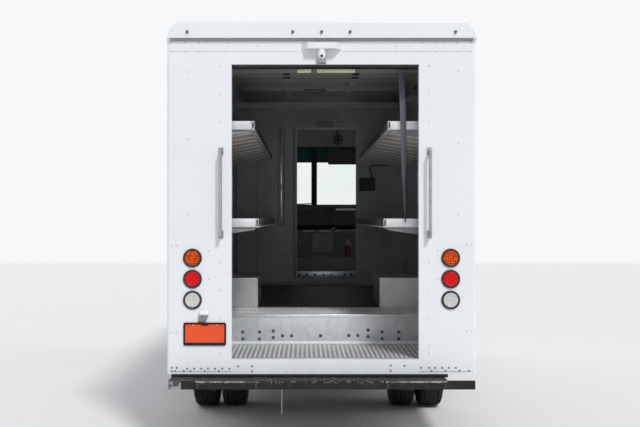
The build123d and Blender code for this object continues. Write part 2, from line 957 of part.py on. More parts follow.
def engine_cover():
    """Hollow cover over the engine, with a low ledge behind it."""
    front = cab_floor_front
    pts = [(cover_ledge_y, floor_z), (cover_ledge_y, cover_ledge_top), (cover_rear_y, cover_ledge_top),
           (cover_rear_y + cover_rake, cover_top), (front, cover_top), (front, floor_z)]
    cover = side_prism(pts, cover_left, cover_right)
    cut = [(cover_ledge_y + cover_sheet, floor_z - 5), (cover_ledge_y + cover_sheet, cover_ledge_top - cover_sheet),
           (cover_rear_y + cover_sheet, cover_ledge_top - cover_sheet),
           (cover_rear_y + cover_rake + cover_sheet, cover_top - cover_sheet), (front + 5, cover_top - cover_sheet),
           (front + 5, floor_z - 5)]
    return cover - side_prism(cut, cover_left + cover_sheet, cover_right - cover_sheet)


write("engine_cover", engine_cover())


def dash():
    """Dashboard from wall to wall, under the windshield."""
    front = nose_y - windshield_base_setback
    pts = [(dash_rear_y + 60, dash_bottom), (dash_rear_y, dash_bottom + 60), (dash_rear_y + 20, dash_top - 90),
           (dash_rear_y + 90, dash_top), (front, dash_top), (front, dash_top - dash_sheet),
           (dash_rear_y + 110, dash_top - dash_sheet), (dash_rear_y + 20 + dash_sheet, dash_top - 100),
           (dash_rear_y + dash_sheet, dash_bottom + 70), (dash_rear_y + 60 + dash_sheet, dash_bottom + 20),
           (dash_rear_y + 60 + dash_sheet, dash_bottom)]
    return side_prism(pts, -inner_half + 30, inner_half - 30) & envelope(wall)


write("dash", dash())

tilt = math.radians(column_tilt)
column_axis = (0, -math.sin(tilt), math.cos(tilt))
wheel_centre = (column_x, wheel_centre_y, wheel_centre_z)


def along_column(distance):
    """A point below the steering wheel's centre on the column's axis."""
    return tuple(c - distance * a for c, a in zip(wheel_centre, column_axis))


column_length = (wheel_centre_z - floor_z - joint_gap - column_radius * math.sin(tilt)) / math.cos(tilt)
write("steering_column", rod(along_column(steering_hub_length + joint_gap), along_column(column_length), column_radius))


def steering_wheel():
    """Rim, three spokes and hub."""
    plane = Plane(origin=wheel_centre, z_dir=column_axis)
    rim = Torus(steering_rim_radius, steering_rim_tube)
    hub = Pos(0, 0, -steering_hub_length / 2) * Cylinder(steering_hub_radius, steering_hub_length)
    wheel = rim + hub
    root = steering_hub_radius / 2
    reach = steering_rim_radius - steering_rim_tube / 3
    for angle in (90, 210, 330):
        a = math.radians(angle)
        tip = (reach * math.cos(a), reach * math.sin(a), 0)
        wheel += rod((root * math.cos(a), root * math.sin(a), -1.3 * spoke_radius), tip, spoke_radius)
    return plane * wheel


write("steering_wheel", steering_wheel())


def seat_base():
    """Floor plate, post and pan under the driver's cushion."""
    pan_top = seat_top - cushion_thickness - joint_gap
    pan_low = pan_top - seat_pan_thickness
    half_plate = seat_plate / 2
    base = block(seat_x - half_plate, seat_x + half_plate, seat_y - half_plate, seat_y + half_plate,
                 floor_z, floor_z + seat_plate_thickness)
    base -= block(-inner_half, -(inner_half - well_width), door_rear_y, door_front_y,
                  floor_z - 5, floor_z + seat_plate_thickness + 5)
    base += Pos(seat_x, seat_y, (floor_z + pan_top) / 2) * Cylinder(seat_post_radius, pan_top - floor_z)
    base += block(seat_x - seat_width / 2 + seat_pan_thickness, seat_x + seat_width / 2 - seat_pan_thickness,
                  seat_y - seat_depth / 2, seat_y + seat_depth / 2, pan_low, pan_top)
    back_y = seat_y - seat_depth / 2
    for side in (-1, 1):
        x = seat_x + side * seat_strut_spacing / 2
        base += block(x - seat_strut_width / 2, x + seat_strut_width / 2, back_y - seat_strut_depth, back_y,
                      pan_low, seat_top + back_height * 0.6)
    return base


write("seat_base", seat_base())


def seat_cushions():
    """Seat cushion and backrest."""
    low = seat_top - cushion_thickness
    rear = seat_y - seat_depth / 2
    cushion = block(seat_x - seat_width / 2, seat_x + seat_width / 2, rear + back_thickness + cushion_gap,
                    seat_y + seat_depth / 2 + cushion_overhang, low, seat_top)
    cushion = fillet(cushion.edges().filter_by(Axis.Z), cushion_radius)
    back_half = seat_width / 2 - 1.5 * cushion_gap
    back = block(seat_x - back_half, seat_x + back_half, rear + joint_gap, rear + back_thickness,
                 low, low + back_height)
    back = fillet(back.edges().filter_by(Axis.Y), back_radius)
    return group([cushion, back])


write("seat_cushions", seat_cushions())


def engine():
    """Plain block at the engine's place, and the radiator core in front of it."""
    front = engine_front_y + fan_gap
    mass = block(-engine_width / 2, engine_width / 2, engine_rear_y, engine_front_y, engine_bottom, engine_top)
    mounts = block(-rail_outer + rail_sheet, rail_outer - rail_sheet, engine_rear_y + 300, engine_rear_y + 380,
                   engine_bottom + 20, engine_bottom + 80)
    core = block(-grille_half + 60, grille_half - 60, front, front + radiator_thickness, rail_top, grille_high_z)
    return group([mass + mounts, core])


write("engine", engine())


# Axles and wheels

def front_axle():
    """Forged I-beam with a boss for each kingpin."""
    beam = block(-kingpin_x, kingpin_x, front_axle_y - beam_width / 2, front_axle_y + beam_width / 2,
                 tyre_radius - beam_height / 2, tyre_radius + beam_height / 2)
    for side in (-1, 1):
        low_y, high_y = sorted((front_axle_y + side * (beam_width / 2 - beam_recess),
                                front_axle_y + side * (beam_width / 2 + 5)))
        beam -= block(-kingpin_x + 160, kingpin_x - 160, low_y, high_y, tyre_radius - beam_height / 2 + 18,
                      tyre_radius + beam_height / 2 - 18)
    for side in (-1, 1):
        low_x, high_x = sorted((side * kingpin_x, side * (kingpin_x + 60)))
        beam -= block(low_x, high_x, front_axle_y - 100, front_axle_y + 100, 0, 2 * tyre_radius)
        beam += Pos(side * kingpin_x, front_axle_y, tyre_radius) * Cylinder(boss_radius, 2 * boss_half_height)
        beam -= Pos(side * kingpin_x, front_axle_y, tyre_radius) * Cylinder(
            kingpin_radius + joint_gap, 2 * boss_half_height + 10)
    return beam


write("front_axle", front_axle())


def knuckle():
    """Right steering knuckle: two lugs, kingpin, web and spindle."""
    lug_in = boss_half_height + lug_gap
    lug_out = lug_in + lug_thickness
    pieces = [Pos(kingpin_x, front_axle_y, tyre_radius) * Cylinder(kingpin_radius, 2 * lug_out)]
    web_x = kingpin_x + boss_radius + running_clearance
    for side in (-1, 1):
        z = tyre_radius + side * (lug_in + lug_out) / 2
        pieces.append(Pos(kingpin_x, front_axle_y, z) * Cylinder(boss_radius, lug_thickness))
        pieces.append(block(kingpin_x, web_x + knuckle_web, front_axle_y - boss_radius, front_axle_y + boss_radius,
                            z - lug_thickness / 2, z + lug_thickness / 2))
    pieces.append(block(web_x, web_x + knuckle_web, front_axle_y - boss_radius, front_axle_y + boss_radius,
                        tyre_radius - lug_out, tyre_radius + lug_out))
    tip = front_tyre_centre + bead_half - spindle_inset
    pieces.append(rod((web_x + 5, front_axle_y, tyre_radius), (tip, front_axle_y, tyre_radius), hub_bore - joint_gap))
    arm_y = front_axle_y - boss_radius
    pieces.append(block(kingpin_x - 40, kingpin_x + boss_radius, arm_y - 150, arm_y + 5,
                        tyre_radius - lug_out, tyre_radius - lug_in))
    return joined(pieces)


write("knuckle_right", knuckle())
write("knuckle_left", flip(knuckle()))


def tyre(centre_x, y):
    """Truck tyre, solid down to its beads."""
    half = tyre_width / 2
    bead_top = rim_radius + flange_height + 1
    profile = [(-bead_half, rim_radius), (-bead_half, bead_top), (-half + 6, bead_top + 30), (-half, tyre_radius - 80),
               (-half + 10, tyre_radius - 22), (-half + 30, tyre_radius - 3), (0, tyre_radius),
               (half - 30, tyre_radius - 3), (half - 10, tyre_radius - 22), (half, tyre_radius - 80),
               (half - 6, bead_top + 30), (bead_half, bead_top), (bead_half, rim_radius)]
    return turned([(centre_x + x, r) for x, r in profile], y, tyre_radius)


def rim(centre_x, y, disc_x, bore):
    """Steel rim with its disc at disc_x, pierced by hand holes."""
    outside = rim_radius - joint_gap
    inside = outside - rim_sheet
    edge = bead_half + joint_gap
    profile = [(-edge - flange_width, outside + flange_height), (-edge, outside + flange_height), (-edge, outside),
               (edge, outside), (edge, outside + flange_height), (edge + flange_width, outside + flange_height),
               (edge + flange_width, inside), (-edge - flange_width, inside)]
    barrel = turned([(centre_x + x, r) for x, r in profile], y, tyre_radius)
    disc = turned([(disc_x - disc_thickness / 2, bore), (disc_x - disc_thickness / 2, inside + 3),
                   (disc_x + disc_thickness / 2, inside + 3), (disc_x + disc_thickness / 2, bore)],
                  y, tyre_radius)
    for n in range(hand_hole_count):
        a = 2 * math.pi * n / hand_hole_count
        disc -= rod((disc_x - 40, y + hand_hole_circle * math.cos(a), tyre_radius + hand_hole_circle * math.sin(a)),
                    (disc_x + 40, y + hand_hole_circle * math.cos(a), tyre_radius + hand_hole_circle * math.sin(a)),
                    hand_hole_radius)
    return barrel + disc


def brake_drum(drum_x, y):
    """Drum behind the disc, open towards the axle."""
    return turned([(drum_x, hub_radius - hub_step), (drum_x, drum_radius), (drum_x - drum_depth, drum_radius),
                   (drum_x - drum_depth, drum_radius - drum_sheet), (drum_x - drum_sheet, drum_radius - drum_sheet),
                   (drum_x - drum_sheet, hub_radius - hub_step)], y, tyre_radius)


def front_rim():
    """Right front rim with its hub and brake drum."""
    disc_x = front_tyre_centre + bead_half - front_disc_inset
    spindle_tip = front_tyre_centre + bead_half - spindle_inset
    bore_end = spindle_tip + running_clearance
    hub_in = kingpin_x + boss_radius + 2 * running_clearance + knuckle_web
    hub_out = bore_end + hub_cap_length
    wheel = rim(front_tyre_centre, front_axle_y, disc_x, hub_radius - hub_step)
    wheel += turned([(hub_in, hub_bore), (hub_in, hub_radius), (disc_x + hub_nose, hub_radius),
                     (hub_out - hub_nose, hub_radius - 5 * hub_step), (hub_out, hub_radius - 7 * hub_step),
                     (hub_out, 0), (bore_end, 0), (bore_end, hub_bore)],
                    front_axle_y, tyre_radius)
    wheel += brake_drum(disc_x - disc_thickness / 2, front_axle_y)
    return wheel


write("front_tyre_right", tyre(front_tyre_centre, front_axle_y))
write("front_tyre_left", flip(tyre(front_tyre_centre, front_axle_y)))
write("front_rim_right", front_rim())
write("front_rim_left", flip(front_rim()))

rear_tyre_inner = rear_tyre_outer - dual_spacing
dual_disc_x = (rear_tyre_outer + rear_tyre_inner) / 2
rear_axle_tip = rear_hub_reach - hub_cap_length - running_clearance


def rear_rims():
    """Right pair of rear rims, disc to disc, with hub and drum."""
    pair = rim(rear_tyre_outer, rear_axle_y, dual_disc_x + disc_thickness / 2, hub_radius - hub_step)
    pair += rim(rear_tyre_inner, rear_axle_y, dual_disc_x - disc_thickness / 2, hub_radius - hub_step)
    bridge_inner = rim_radius - joint_gap - rim_sheet
    pair += turned([(rear_tyre_inner + bead_half, bridge_inner), (rear_tyre_inner + bead_half, bridge_inner + rim_sheet),
                    (rear_tyre_outer - bead_half, bridge_inner + rim_sheet), (rear_tyre_outer - bead_half, bridge_inner)],
                   rear_axle_y, tyre_radius)
    hub_in = dual_disc_x - disc_thickness - drum_depth
    bore_end = rear_axle_tip + running_clearance
    pair += turned([(hub_in, hub_bore), (hub_in, hub_radius), (dual_disc_x + 1.5 * hub_nose, hub_radius),
                    (rear_hub_reach - 1.5 * hub_nose, hub_radius - 3 * hub_step),
                    (rear_hub_reach, hub_radius - 6 * hub_step), (rear_hub_reach, 0),
                    (bore_end, 0), (bore_end, hub_bore)], rear_axle_y, tyre_radius)
    pair += brake_drum(dual_disc_x - disc_thickness, rear_axle_y)
    return pair


def rear_tyres():
    return group([tyre(rear_tyre_outer, rear_axle_y), tyre(rear_tyre_inner, rear_axle_y)])


write("rear_tyres_right", rear_tyres())
write("rear_tyres_left", group([flip(tyre(rear_tyre_outer, rear_axle_y)), flip(tyre(rear_tyre_inner, rear_axle_y))]))
write("rear_rims_right", rear_rims())
write("rear_rims_left", flip(rear_rims()))


def rear_axle():
    """Axle tube, differential, stub shafts and spring seats."""
    drum_open = dual_disc_x - disc_thickness - drum_depth
    tube_end = drum_open - running_clearance
    axle = rod((-tube_end, rear_axle_y, tyre_radius), (tube_end, rear_axle_y, tyre_radius), axle_tube_radius)
    axle += rod((-rear_axle_tip, rear_axle_y, tyre_radius), (rear_axle_tip, rear_axle_y, tyre_radius),
                hub_bore - joint_gap)
    ball = Pos(0, rear_axle_y, tyre_radius) * Sphere(differential_radius)
    axle += ball & block(-130, 130, rear_axle_y - 200, rear_axle_y + 200, 0, 2 * tyre_radius)
    axle += rod((0, rear_axle_y + 100, tyre_radius), (0, pinion_y, tyre_radius), pinion_radius)
    for side in (-1, 1):
        low_x = side * rear_spring_x - spring_width / 2
        axle += block(low_x, low_x + spring_width, rear_axle_y - 80, rear_axle_y + 80,
                      tyre_radius, tyre_radius + axle_tube_radius + hanger_sheet)
    return axle


write("rear_axle", rear_axle())
write("drive_shaft", rod((0, pinion_y + shaft_end_gap, tyre_radius),
                         (0, engine_rear_y - shaft_end_gap, engine_bottom + shaft_radius), shaft_radius))


def fuel_tank():
    """Tank outside the left rail, on two straps."""
    y0 = rear_axle_y + rear_spring_length / 2 + hanging_start
    side_x = -rail_outer - tank_gap
    tank = block(side_x - tank_width, side_x, y0, y0 + tank_length, tank_bottom, rail_top - tank_drop)
    tank = fillet(tank.edges().filter_by(Axis.Y), tank_radius)
    for share in (0.2, 0.75):
        y = y0 + tank_length * share
        tank += block(-rail_outer - tank_radius, -rail_outer, y, y + strap_arm_width,
                      rail_bottom + tank_drop, rail_top - 2 * tank_drop)
    return tank


write("fuel_tank", fuel_tank())


def exhaust():
    """Muffler and pipe on the right, with its hanger to the rail."""
    x = rail_outer + muffler_gap
    z = muffler_z
    y0 = rear_axle_y + rear_spring_length / 2 + hanging_start
    y1 = y0 + muffler_length
    body = rod((x, y0, z), (x, y1, z), muffler_radius)
    body += rod((x, y1 - tail_radius, z), (x, y1 + tail_length, z + tail_radius), tail_radius)
    body += rod((x, y0 + tail_radius, z), (x, y0 - 2 * tail_radius, z), tail_radius)
    for share in (0.2, 0.75):
        y = y0 + muffler_length * share
        body += block(rail_outer, x, y, y + strap_arm_width, rail_bottom + tail_radius, rail_bottom + 2 * tail_radius)
    return body


write("exhaust", exhaust())


# Bumpers

bumper_face_y = rear_face_y - rear_bumper_reach + pad_depth


def rear_bumper():
    """Step bumper: tread plate and face on two arms from the rails, with two wide pads."""
    front = rear_face_y - rear_bumper_gap
    inner_face = bumper_face_y + bumper_sheet
    bar = block(-rear_bumper_half, rear_bumper_half, bumper_face_y, inner_face, rear_bumper_bottom, rear_bumper_top)
    bar += block(-rear_bumper_half, tread_plate_end, bumper_face_y, front, rear_bumper_top - bumper_sheet, rear_bumper_top)
    for x in (-rear_bumper_half, tread_plate_end - bumper_sheet):
        bar += block(x, x + bumper_sheet, bumper_face_y, front, rear_bumper_bottom, rear_bumper_top)
    for x0, x1 in pad_spans:
        pad = block(x0, x1, bumper_face_y - pad_depth, bumper_face_y,
                    rear_bumper_bottom + pad_margin, rear_bumper_top - pad_margin)
        bar += fillet(pad.edges().filter_by(Axis.X).group_by(Axis.Y)[0], pad_edge_radius)
    arm_low = rail_bottom + rail_sheet
    for side in (-1, 1):
        web = side * (rail_outer - rail_sheet)
        low_x, high_x = sorted((web, web - side * bumper_arm_width))
        bar += block(low_x, high_x, bumper_face_y, rear_face_y + bumper_arm_reach, arm_low, arm_low + bumper_arm_height)
    return bar


write("rear_bumper", rear_bumper())


def front_bumper():
    """Pressed channel across the nose."""
    y1 = nose_y + front_bumper_reach
    y0 = nose_y + front_bumper_gap
    bar = block(-half_width, half_width, y0, y1, front_bumper_bottom, front_bumper_top)
    bar = fillet(bar.edges().filter_by(Axis.Z).group_by(Axis.Y)[-1], front_bumper_radius)
    bar -= block(-half_width + front_bumper_radius, half_width - front_bumper_radius, y0 - 5, y1 - bumper_sheet,
                 front_bumper_bottom + bumper_sheet, front_bumper_top - bumper_sheet)
    for side in (-1, 1):
        low_x, high_x = sorted((side * rail_outer, side * (rail_outer + hanger_sheet)))
        bar += block(low_x, high_x, nose_y - front_arm_reach, y1 - bumper_sheet, rail_bottom, skirt_bottom - panel_gap)
    return bar


write("front_bumper", front_bumper())


# Cargo fittings

def shelf(lip_x, lip_z, side):
    """Folded sheet shelf that slopes down to the wall, with ribs below."""
    drop = (inner_half - lip_x) * math.tan(math.radians(shelf_slope))
    deck_z = lip_z + shelf_lip_height - 14
    inside = lip_x + shelf_lip_width
    pts = [(lip_x, lip_z), (lip_x, lip_z + shelf_lip_height), (inside, lip_z + shelf_lip_height),
           (inside, deck_z), (inner_half, deck_z - drop), (inner_half, deck_z - drop - shelf_sheet),
           (inside, deck_z - shelf_sheet), (inside, lip_z)]
    y0 = rear_face_y + shelf_rear_gap
    y1 = bulkhead_y - shelf_front_gap
    solid = cross_prism(pts, y0, y1)
    rib = [(inside - 2, deck_z - shelf_sheet + 1), (inner_half, deck_z - drop - shelf_sheet + 1),
           (inner_half, deck_z - drop - shelf_sheet - shelf_rib_depth), (inside - 2, lip_z + 4)]
    for y in spaced(shelf_rib_count, y0 + shelf_rib_width, y1 - shelf_rib_width):
        solid += cross_prism(rib, y - shelf_rib_width / 2, y + shelf_rib_width / 2)
    if side < 0:
        solid = flip(solid)
    return solid


write("shelves", group([shelf(x, z, side) for x, z in shelf_rows for side in (-1, 1)]))

strap_y = rear_face_y + strap_setback
track_y = rear_face_y + rear_frame_depth + track_setback
track_end_y = rear_face_y + track_length


def track_ribbon(x0, x1, thickness):
    """Straight up the jamb, round the bend, and level under the roof."""
    half = thickness / 2
    bend_y = track_y + track_bend_radius
    bend_z = track_level - track_bend_radius
    upright = block(x0, x1, track_y - half, track_y + half, opening_bottom + track_floor_gap, bend_z)
    level = block(x0, x1, bend_y, track_end_y, track_level - half, track_level + half)
    ring = Rot(0, 90, 0) * (Cylinder(track_bend_radius + half, x1 - x0) - Cylinder(track_bend_radius - half, x1 - x0))
    ring = Pos((x0 + x1) / 2, bend_y, bend_z) * ring
    bend = ring & block(x0, x1, track_y - half, bend_y, bend_z, track_level + half)
    return upright + bend + level


def track(side):
    """C-section guide for the roll-up door's rollers."""
    edge = (opening_right if side > 0 else -opening_left) + door_side_lap
    x_in = edge + joint_gap
    outer_low, outer_high = sorted((side * x_in, side * (x_in + track_width)))
    cut_low, cut_high = sorted((side * (x_in - 5), side * (x_in + track_width - track_sheet)))
    guide = track_ribbon(outer_low, outer_high, track_inner + 2 * track_sheet)
    guide -= track_ribbon(cut_low, cut_high, track_inner)
    back = side * (x_in + track_width)
    for y in spaced(hanger_count, track_y + 420, track_end_y - 60):
        bow = min(bow_places(), key=lambda b: abs(b - y))
        low_x, high_x = sorted((back, back - side * track_sheet))
        guide += block(low_x, high_x, bow - hanger_width / 2, bow + hanger_width / 2,
                       track_level + track_inner / 2, ceiling_z)
    foot_low, foot_high = sorted((back, back - side * track_foot_width))
    bend_z = track_level - track_bend_radius
    for z in (opening_bottom + 5 * track_foot_height, (opening_bottom + opening_top) / 2,
              bend_z - 1.5 * track_foot_height):
        guide += block(foot_low, foot_high, rear_face_y + rear_frame_depth, track_y - track_inner / 2 - track_sheet + 1,
                       z, z + track_foot_height)
    return guide


write("door_tracks", group([track(-1), track(1)]))


def roll_panel(number):
    """One slat of the parked door with its four rollers."""
    x0 = opening_left - door_side_lap
    x1 = opening_right + door_side_lap
    y1 = track_end_y - door_park_gap - number * (roll_panel_length + roll_panel_gap)
    y0 = y1 - roll_panel_length
    z0 = track_level - roll_panel_thickness / 2
    slat = block(x0 + panel_gap, x1 - panel_gap, y0, y1, z0, z0 + roll_panel_thickness)
    slat -= block(x0 + panel_hollow_margin, x1 - panel_hollow_margin, y0 + panel_hollow_end, y1 - panel_hollow_end,
                  z0 - 5, z0 + panel_hollow_depth)
    for y in (y0 + roller_inset, y1 - roller_inset):
        slat += rod((x0 - roller_reach, y, track_level), (x0 + 2 * panel_gap, y, track_level), roller_radius)
        slat += rod((x1 - 2 * panel_gap, y, track_level), (x1 + roller_reach, y, track_level), roller_radius)
    if number == roll_panel_count - 1:
        slat += block(strap_x - strap_width / 2 - 3, strap_x + strap_width / 2 + 3, strap_y - 6, y0 + 5,
                      z0, z0 + strap_bracket)
    return slat


write("roll_up_door", group([roll_panel(n) for n in range(roll_panel_count)]))


# Lamps and fittings

def on_rear(x, z, radius, y_out, y_in):
    return rod((x, y_out, z), (x, y_in, z), radius)


def grommets():
    rings = []
    for side in (-1, 1):
        for z in lamp_heights:
            x = side * lamp_x
            ring = on_rear(x, z, grommet_radius, rear_face_y - lamp_proud, rear_face_y)
            ring += on_rear(x, z, grommet_radius - 8, rear_face_y, rear_face_y + lamp_depth)
            ring -= on_rear(x, z, lens_radius, rear_face_y - lamp_proud - 5, rear_face_y + lamp_depth - 6)
            rings.append(ring)
    return group(rings)


def lens(x, z):
    return on_rear(x, z, lens_radius - joint_gap, rear_face_y - lamp_proud - 3, rear_face_y + lamp_depth - 6)


write("lamp_grommets", grommets())
write("rear_lamps", group([lens(side * lamp_x, z) for side in (-1, 1) for z in lamp_heights]))


def marker_lamps():
    """Five small lamps on the rear cap and five on the brow."""
    rear_edge = rear_face_y - cap_proud
    lamps = [rod((x, rear_edge - marker_length, marker_z), (x, rear_edge, marker_z), marker_radius)
             for x in marker_places]
    return group(lamps)


write("marker_lamps", marker_lamps())


def grab_handle(x):
    """Upright tube on two feet."""
    tube_y = rear_face_y - handle_standoff
    foot_zs = (handle_low + handle_foot, handle_high - handle_foot)
    handle = rod((x, tube_y, foot_zs[0]), (x, tube_y, foot_zs[1]), handle_radius)
    for z in foot_zs:
        handle += Pos(x, tube_y, z) * Sphere(handle_radius)
        handle += rod((x, tube_y, z), (x, rear_face_y, z), handle_radius)
        handle += block(x - handle_foot, x + handle_foot, rear_face_y - 6, rear_face_y,
                        z - handle_foot * 1.6, z + handle_foot * 1.6)
    return handle


write("grab_handles", group([grab_handle(x) for x in handle_places]))


def mirror_set(side):
    """Two-arm bracket with a tall mirror head between its elbows."""
    y = side_front_y - mirror_setback
    post_y = y + mirror_forward
    x_out = side * (half_width + mirror_reach)
    pieces = []
    for foot_z, elbow_z, head_z in ((mirror_foot_high, mirror_head_top + mirror_elbow_gap, mirror_head_top),
                                    (mirror_foot_low, mirror_head_bottom - mirror_elbow_gap, mirror_head_bottom)):
        elbow = (x_out, post_y, elbow_z)
        pieces.append(rod((side * (half_width + 6), y, foot_z), elbow, mirror_arm_radius))
        pieces.append(Pos(*elbow) * Sphere(mirror_arm_radius + 2))
        towards = 5 if head_z == mirror_head_bottom else -5
        pieces.append(rod(elbow, (x_out, post_y, head_z + towards), mirror_arm_radius - 1))
        low_x, high_x = sorted((side * half_width, side * (half_width + 8)))
        pieces.append(block(low_x, high_x, y - 30, y + 30, foot_z - 40, foot_z + 40))
    head = block(x_out - mirror_head_width / 2, x_out + mirror_head_width / 2,
                 post_y - mirror_head_back, post_y + mirror_head_front, mirror_head_bottom, mirror_head_top)
    pieces.append(fillet(head.edges().filter_by(Axis.Y), mirror_head_front))
    return joined(pieces)


write("mirrors", group([mirror_set(-1), mirror_set(1)]))


def rear_camera():
    """Open scoop on the header, with a round camera hung in its mouth."""
    y0 = rear_face_y - hood_reach
    high = eaves_z - hood_head_gap
    low = high - hood_skirt
    half = hood_width / 2
    nose = hood_front_width / 2
    cover = plan_prism([(-half, rear_face_y), (half, rear_face_y), (nose, y0), (-nose, y0)], low, high)
    half -= hood_sheet * 2
    nose -= hood_sheet / 2
    cover -= plan_prism([(-half, rear_face_y - hood_sheet / 2), (half, rear_face_y - hood_sheet / 2),
                         (nose, y0 + hood_sheet), (-nose, y0 + hood_sheet)], low - 1, high - hood_sheet)
    middle_y = rear_face_y - hood_reach / 2
    tip_z = eaves_z - camera_hang + camera_radius
    camera = rod((0, middle_y, tip_z), (0, middle_y, high - hood_sheet / 2), camera_radius)
    camera += Pos(0, middle_y, tip_z) * Sphere(camera_radius)
    arm = block(-camera_arm_width / 2, camera_arm_width / 2, rear_face_y - camera_arm_reach, rear_face_y,
                tip_z - camera_radius - camera_arm_drop, tip_z - camera_radius / 2)
    return cover + camera + arm


write("rear_camera", rear_camera())

strap_top = track_level - roll_panel_thickness / 2 - joint_gap
write("pull_strap", block(strap_x - strap_width / 2, strap_x + strap_width / 2, strap_y, strap_y + strap_thickness,
                          strap_top - strap_reach, strap_top))


# Wire that hangs free under the rear bumper

def wire_point(offset):
    """A point of the route, counted from under the bumper's rear plate."""
    top = (wire_x, bumper_face_y + bumper_sheet / 2, rear_bumper_bottom - joint_gap)
    return tuple(a + b for a, b in zip(top, offset))


def wire():
    """Thin wire on straight runs and tangent arcs."""
    points = [Vector(*wire_point(place)) for place in wire_route]
    radii = []
    for a, b, c in zip(points, points[1:], points[2:]):
        turn = math.radians((b - a).get_angle(c - b))
        radii.append(0.45 * min((b - a).length, (c - b).length) / math.tan(turn / 2))
    print("wire radii", [round(r) for r in radii])
    path = FilletPolyline(*points, radius=radii)
    section = Plane(origin=points[0], z_dir=points[1] - points[0]) * Circle(wire_radius)
    tube = sweep(section, path=path)
    print("wire volume ratio", round(tube.volume / (math.pi * wire_radius ** 2 * path.length), 3))
    return tube


write("hanging_wire", wire())


def wire_hook():
    """Small open link at the wire's end."""
    x, y, z = wire_point(wire_route[-1])
    top = z - joint_gap
    hook = rod((x, y, top), (x, y, top - hook_pin), wire_radius + 1)
    ring = Rot(90, 0, 0) * Torus(hook_width / 2, wire_radius)
    return hook + Pos(x, y, top - hook_pin - hook_width / 2) * ring


write("wire_hook", wire_hook())
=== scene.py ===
import math

import bpy
from mathutils import Matrix, Vector


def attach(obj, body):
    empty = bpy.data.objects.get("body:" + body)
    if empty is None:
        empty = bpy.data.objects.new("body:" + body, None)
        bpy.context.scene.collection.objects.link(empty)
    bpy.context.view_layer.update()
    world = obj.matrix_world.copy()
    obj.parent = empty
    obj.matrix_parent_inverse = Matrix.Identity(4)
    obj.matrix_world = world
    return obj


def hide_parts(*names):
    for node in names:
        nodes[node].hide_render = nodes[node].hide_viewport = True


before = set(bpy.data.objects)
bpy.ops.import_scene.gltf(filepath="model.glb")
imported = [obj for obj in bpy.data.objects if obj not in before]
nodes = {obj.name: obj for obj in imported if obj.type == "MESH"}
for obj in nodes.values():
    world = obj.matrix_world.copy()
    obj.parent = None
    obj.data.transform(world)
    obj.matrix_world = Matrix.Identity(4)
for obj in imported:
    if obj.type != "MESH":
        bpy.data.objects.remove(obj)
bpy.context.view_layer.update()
scene = bpy.context.scene
scene.view_settings.view_transform = "Standard"
print("frame loaded with", len(nodes), "nodes")

# camera, on the left of the middle and level with a standing person's eyes
cameraPlan = {"place": (-0.123, -11.385, 1.75), "lens": 60.5, "shiftX": 0.0234, "shiftY": 0.0070}
cameraData = bpy.data.cameras.new("viewCamera")
cameraData.lens = cameraPlan["lens"]
cameraData.shift_x = cameraPlan["shiftX"]
cameraData.shift_y = cameraPlan["shiftY"]
cameraData.clip_end = 200
camera = bpy.data.objects.new("viewCamera", cameraData)
camera.location = cameraPlan["place"]
camera.rotation_euler = (math.radians(90), 0, 0)
scene.collection.objects.link(camera)
scene.camera = camera

# directions by name, and the turn in degrees that points a round piece's tip that way
bothSides = ((-1, "Left"), (1, "Right"))
ways = {
    "rear": (0, -1, 0), "front": (0, 1, 0), "left": (-1, 0, 0), "right": (1, 0, 0), "up": (0, 0, 1),
    "down": (0, 0, -1),
}
turns = {"rear": (90, 0, 0), "front": (-90, 0, 0), "left": (0, -90, 0), "right": (0, 90, 0), "up": (0, 0, 0)}


# small helpers used for every piece
def leaveEdit():
    if bpy.context.object and bpy.context.object.mode != "OBJECT":
        bpy.ops.object.mode_set(mode="OBJECT")


def pickNone():
    leaveEdit()
    bpy.ops.object.select_all(action="DESELECT")


def pickOnly(piece):
    pickNone()
    piece.select_set(True)
    bpy.context.view_layer.objects.active = piece


def nameNew(name):
    piece = bpy.context.object
    piece.name = name
    piece.data.name = name
    bpy.ops.object.transform_apply(location=True, rotation=True, scale=True)
    return piece


def pickFaces(piece, test):
    pickOnly(piece)
    bpy.ops.object.mode_set(mode="EDIT")
    bpy.ops.mesh.select_mode(type="FACE")
    bpy.ops.mesh.select_all(action="DESELECT")
    bpy.ops.object.mode_set(mode="OBJECT")
    for face in piece.data.polygons:
        face.select = test(face.center, face.normal)
    bpy.ops.object.mode_set(mode="EDIT")


def insetFaces(thickness, depth=0.0):
    bpy.ops.mesh.inset(thickness=thickness, depth=depth, use_individual=False)


def pushFaces(step):
    bpy.ops.mesh.extrude_region_move(TRANSFORM_OT_translate={"value": step})


def moveFaces(step):
    bpy.ops.transform.translate(value=step)


def tipFaces(turn, centre):
    bpy.ops.transform.rotate(value=turn, orient_axis="X", center_override=centre)


def applyStep(piece, kind, **settings):
    step = piece.modifiers.new(kind.title(), kind)
    for key, value in settings.items():
        setattr(step, key, value)
    pickOnly(piece)
    bpy.ops.object.modifier_apply(modifier=step.name)
    return piece


def roundEdges(piece, width, steps=2, angle=30):
    limit = math.radians(angle)
    return applyStep(piece, "BEVEL", width=width, segments=steps, limit_method="ANGLE", angle_limit=limit)


def shapePiece(piece, way, work, width, steps, angle):
    # takes each step of the work on the faces that look one way, then rounds the edges
    if work:
        out = Vector(ways[way])
        pickFaces(piece, lambda middle, normal: normal.dot(out) > 0.9)
        for action, *values in work:
            action(*values)
        leaveEdit()
    return roundEdges(piece, width, steps, angle) if width else piece


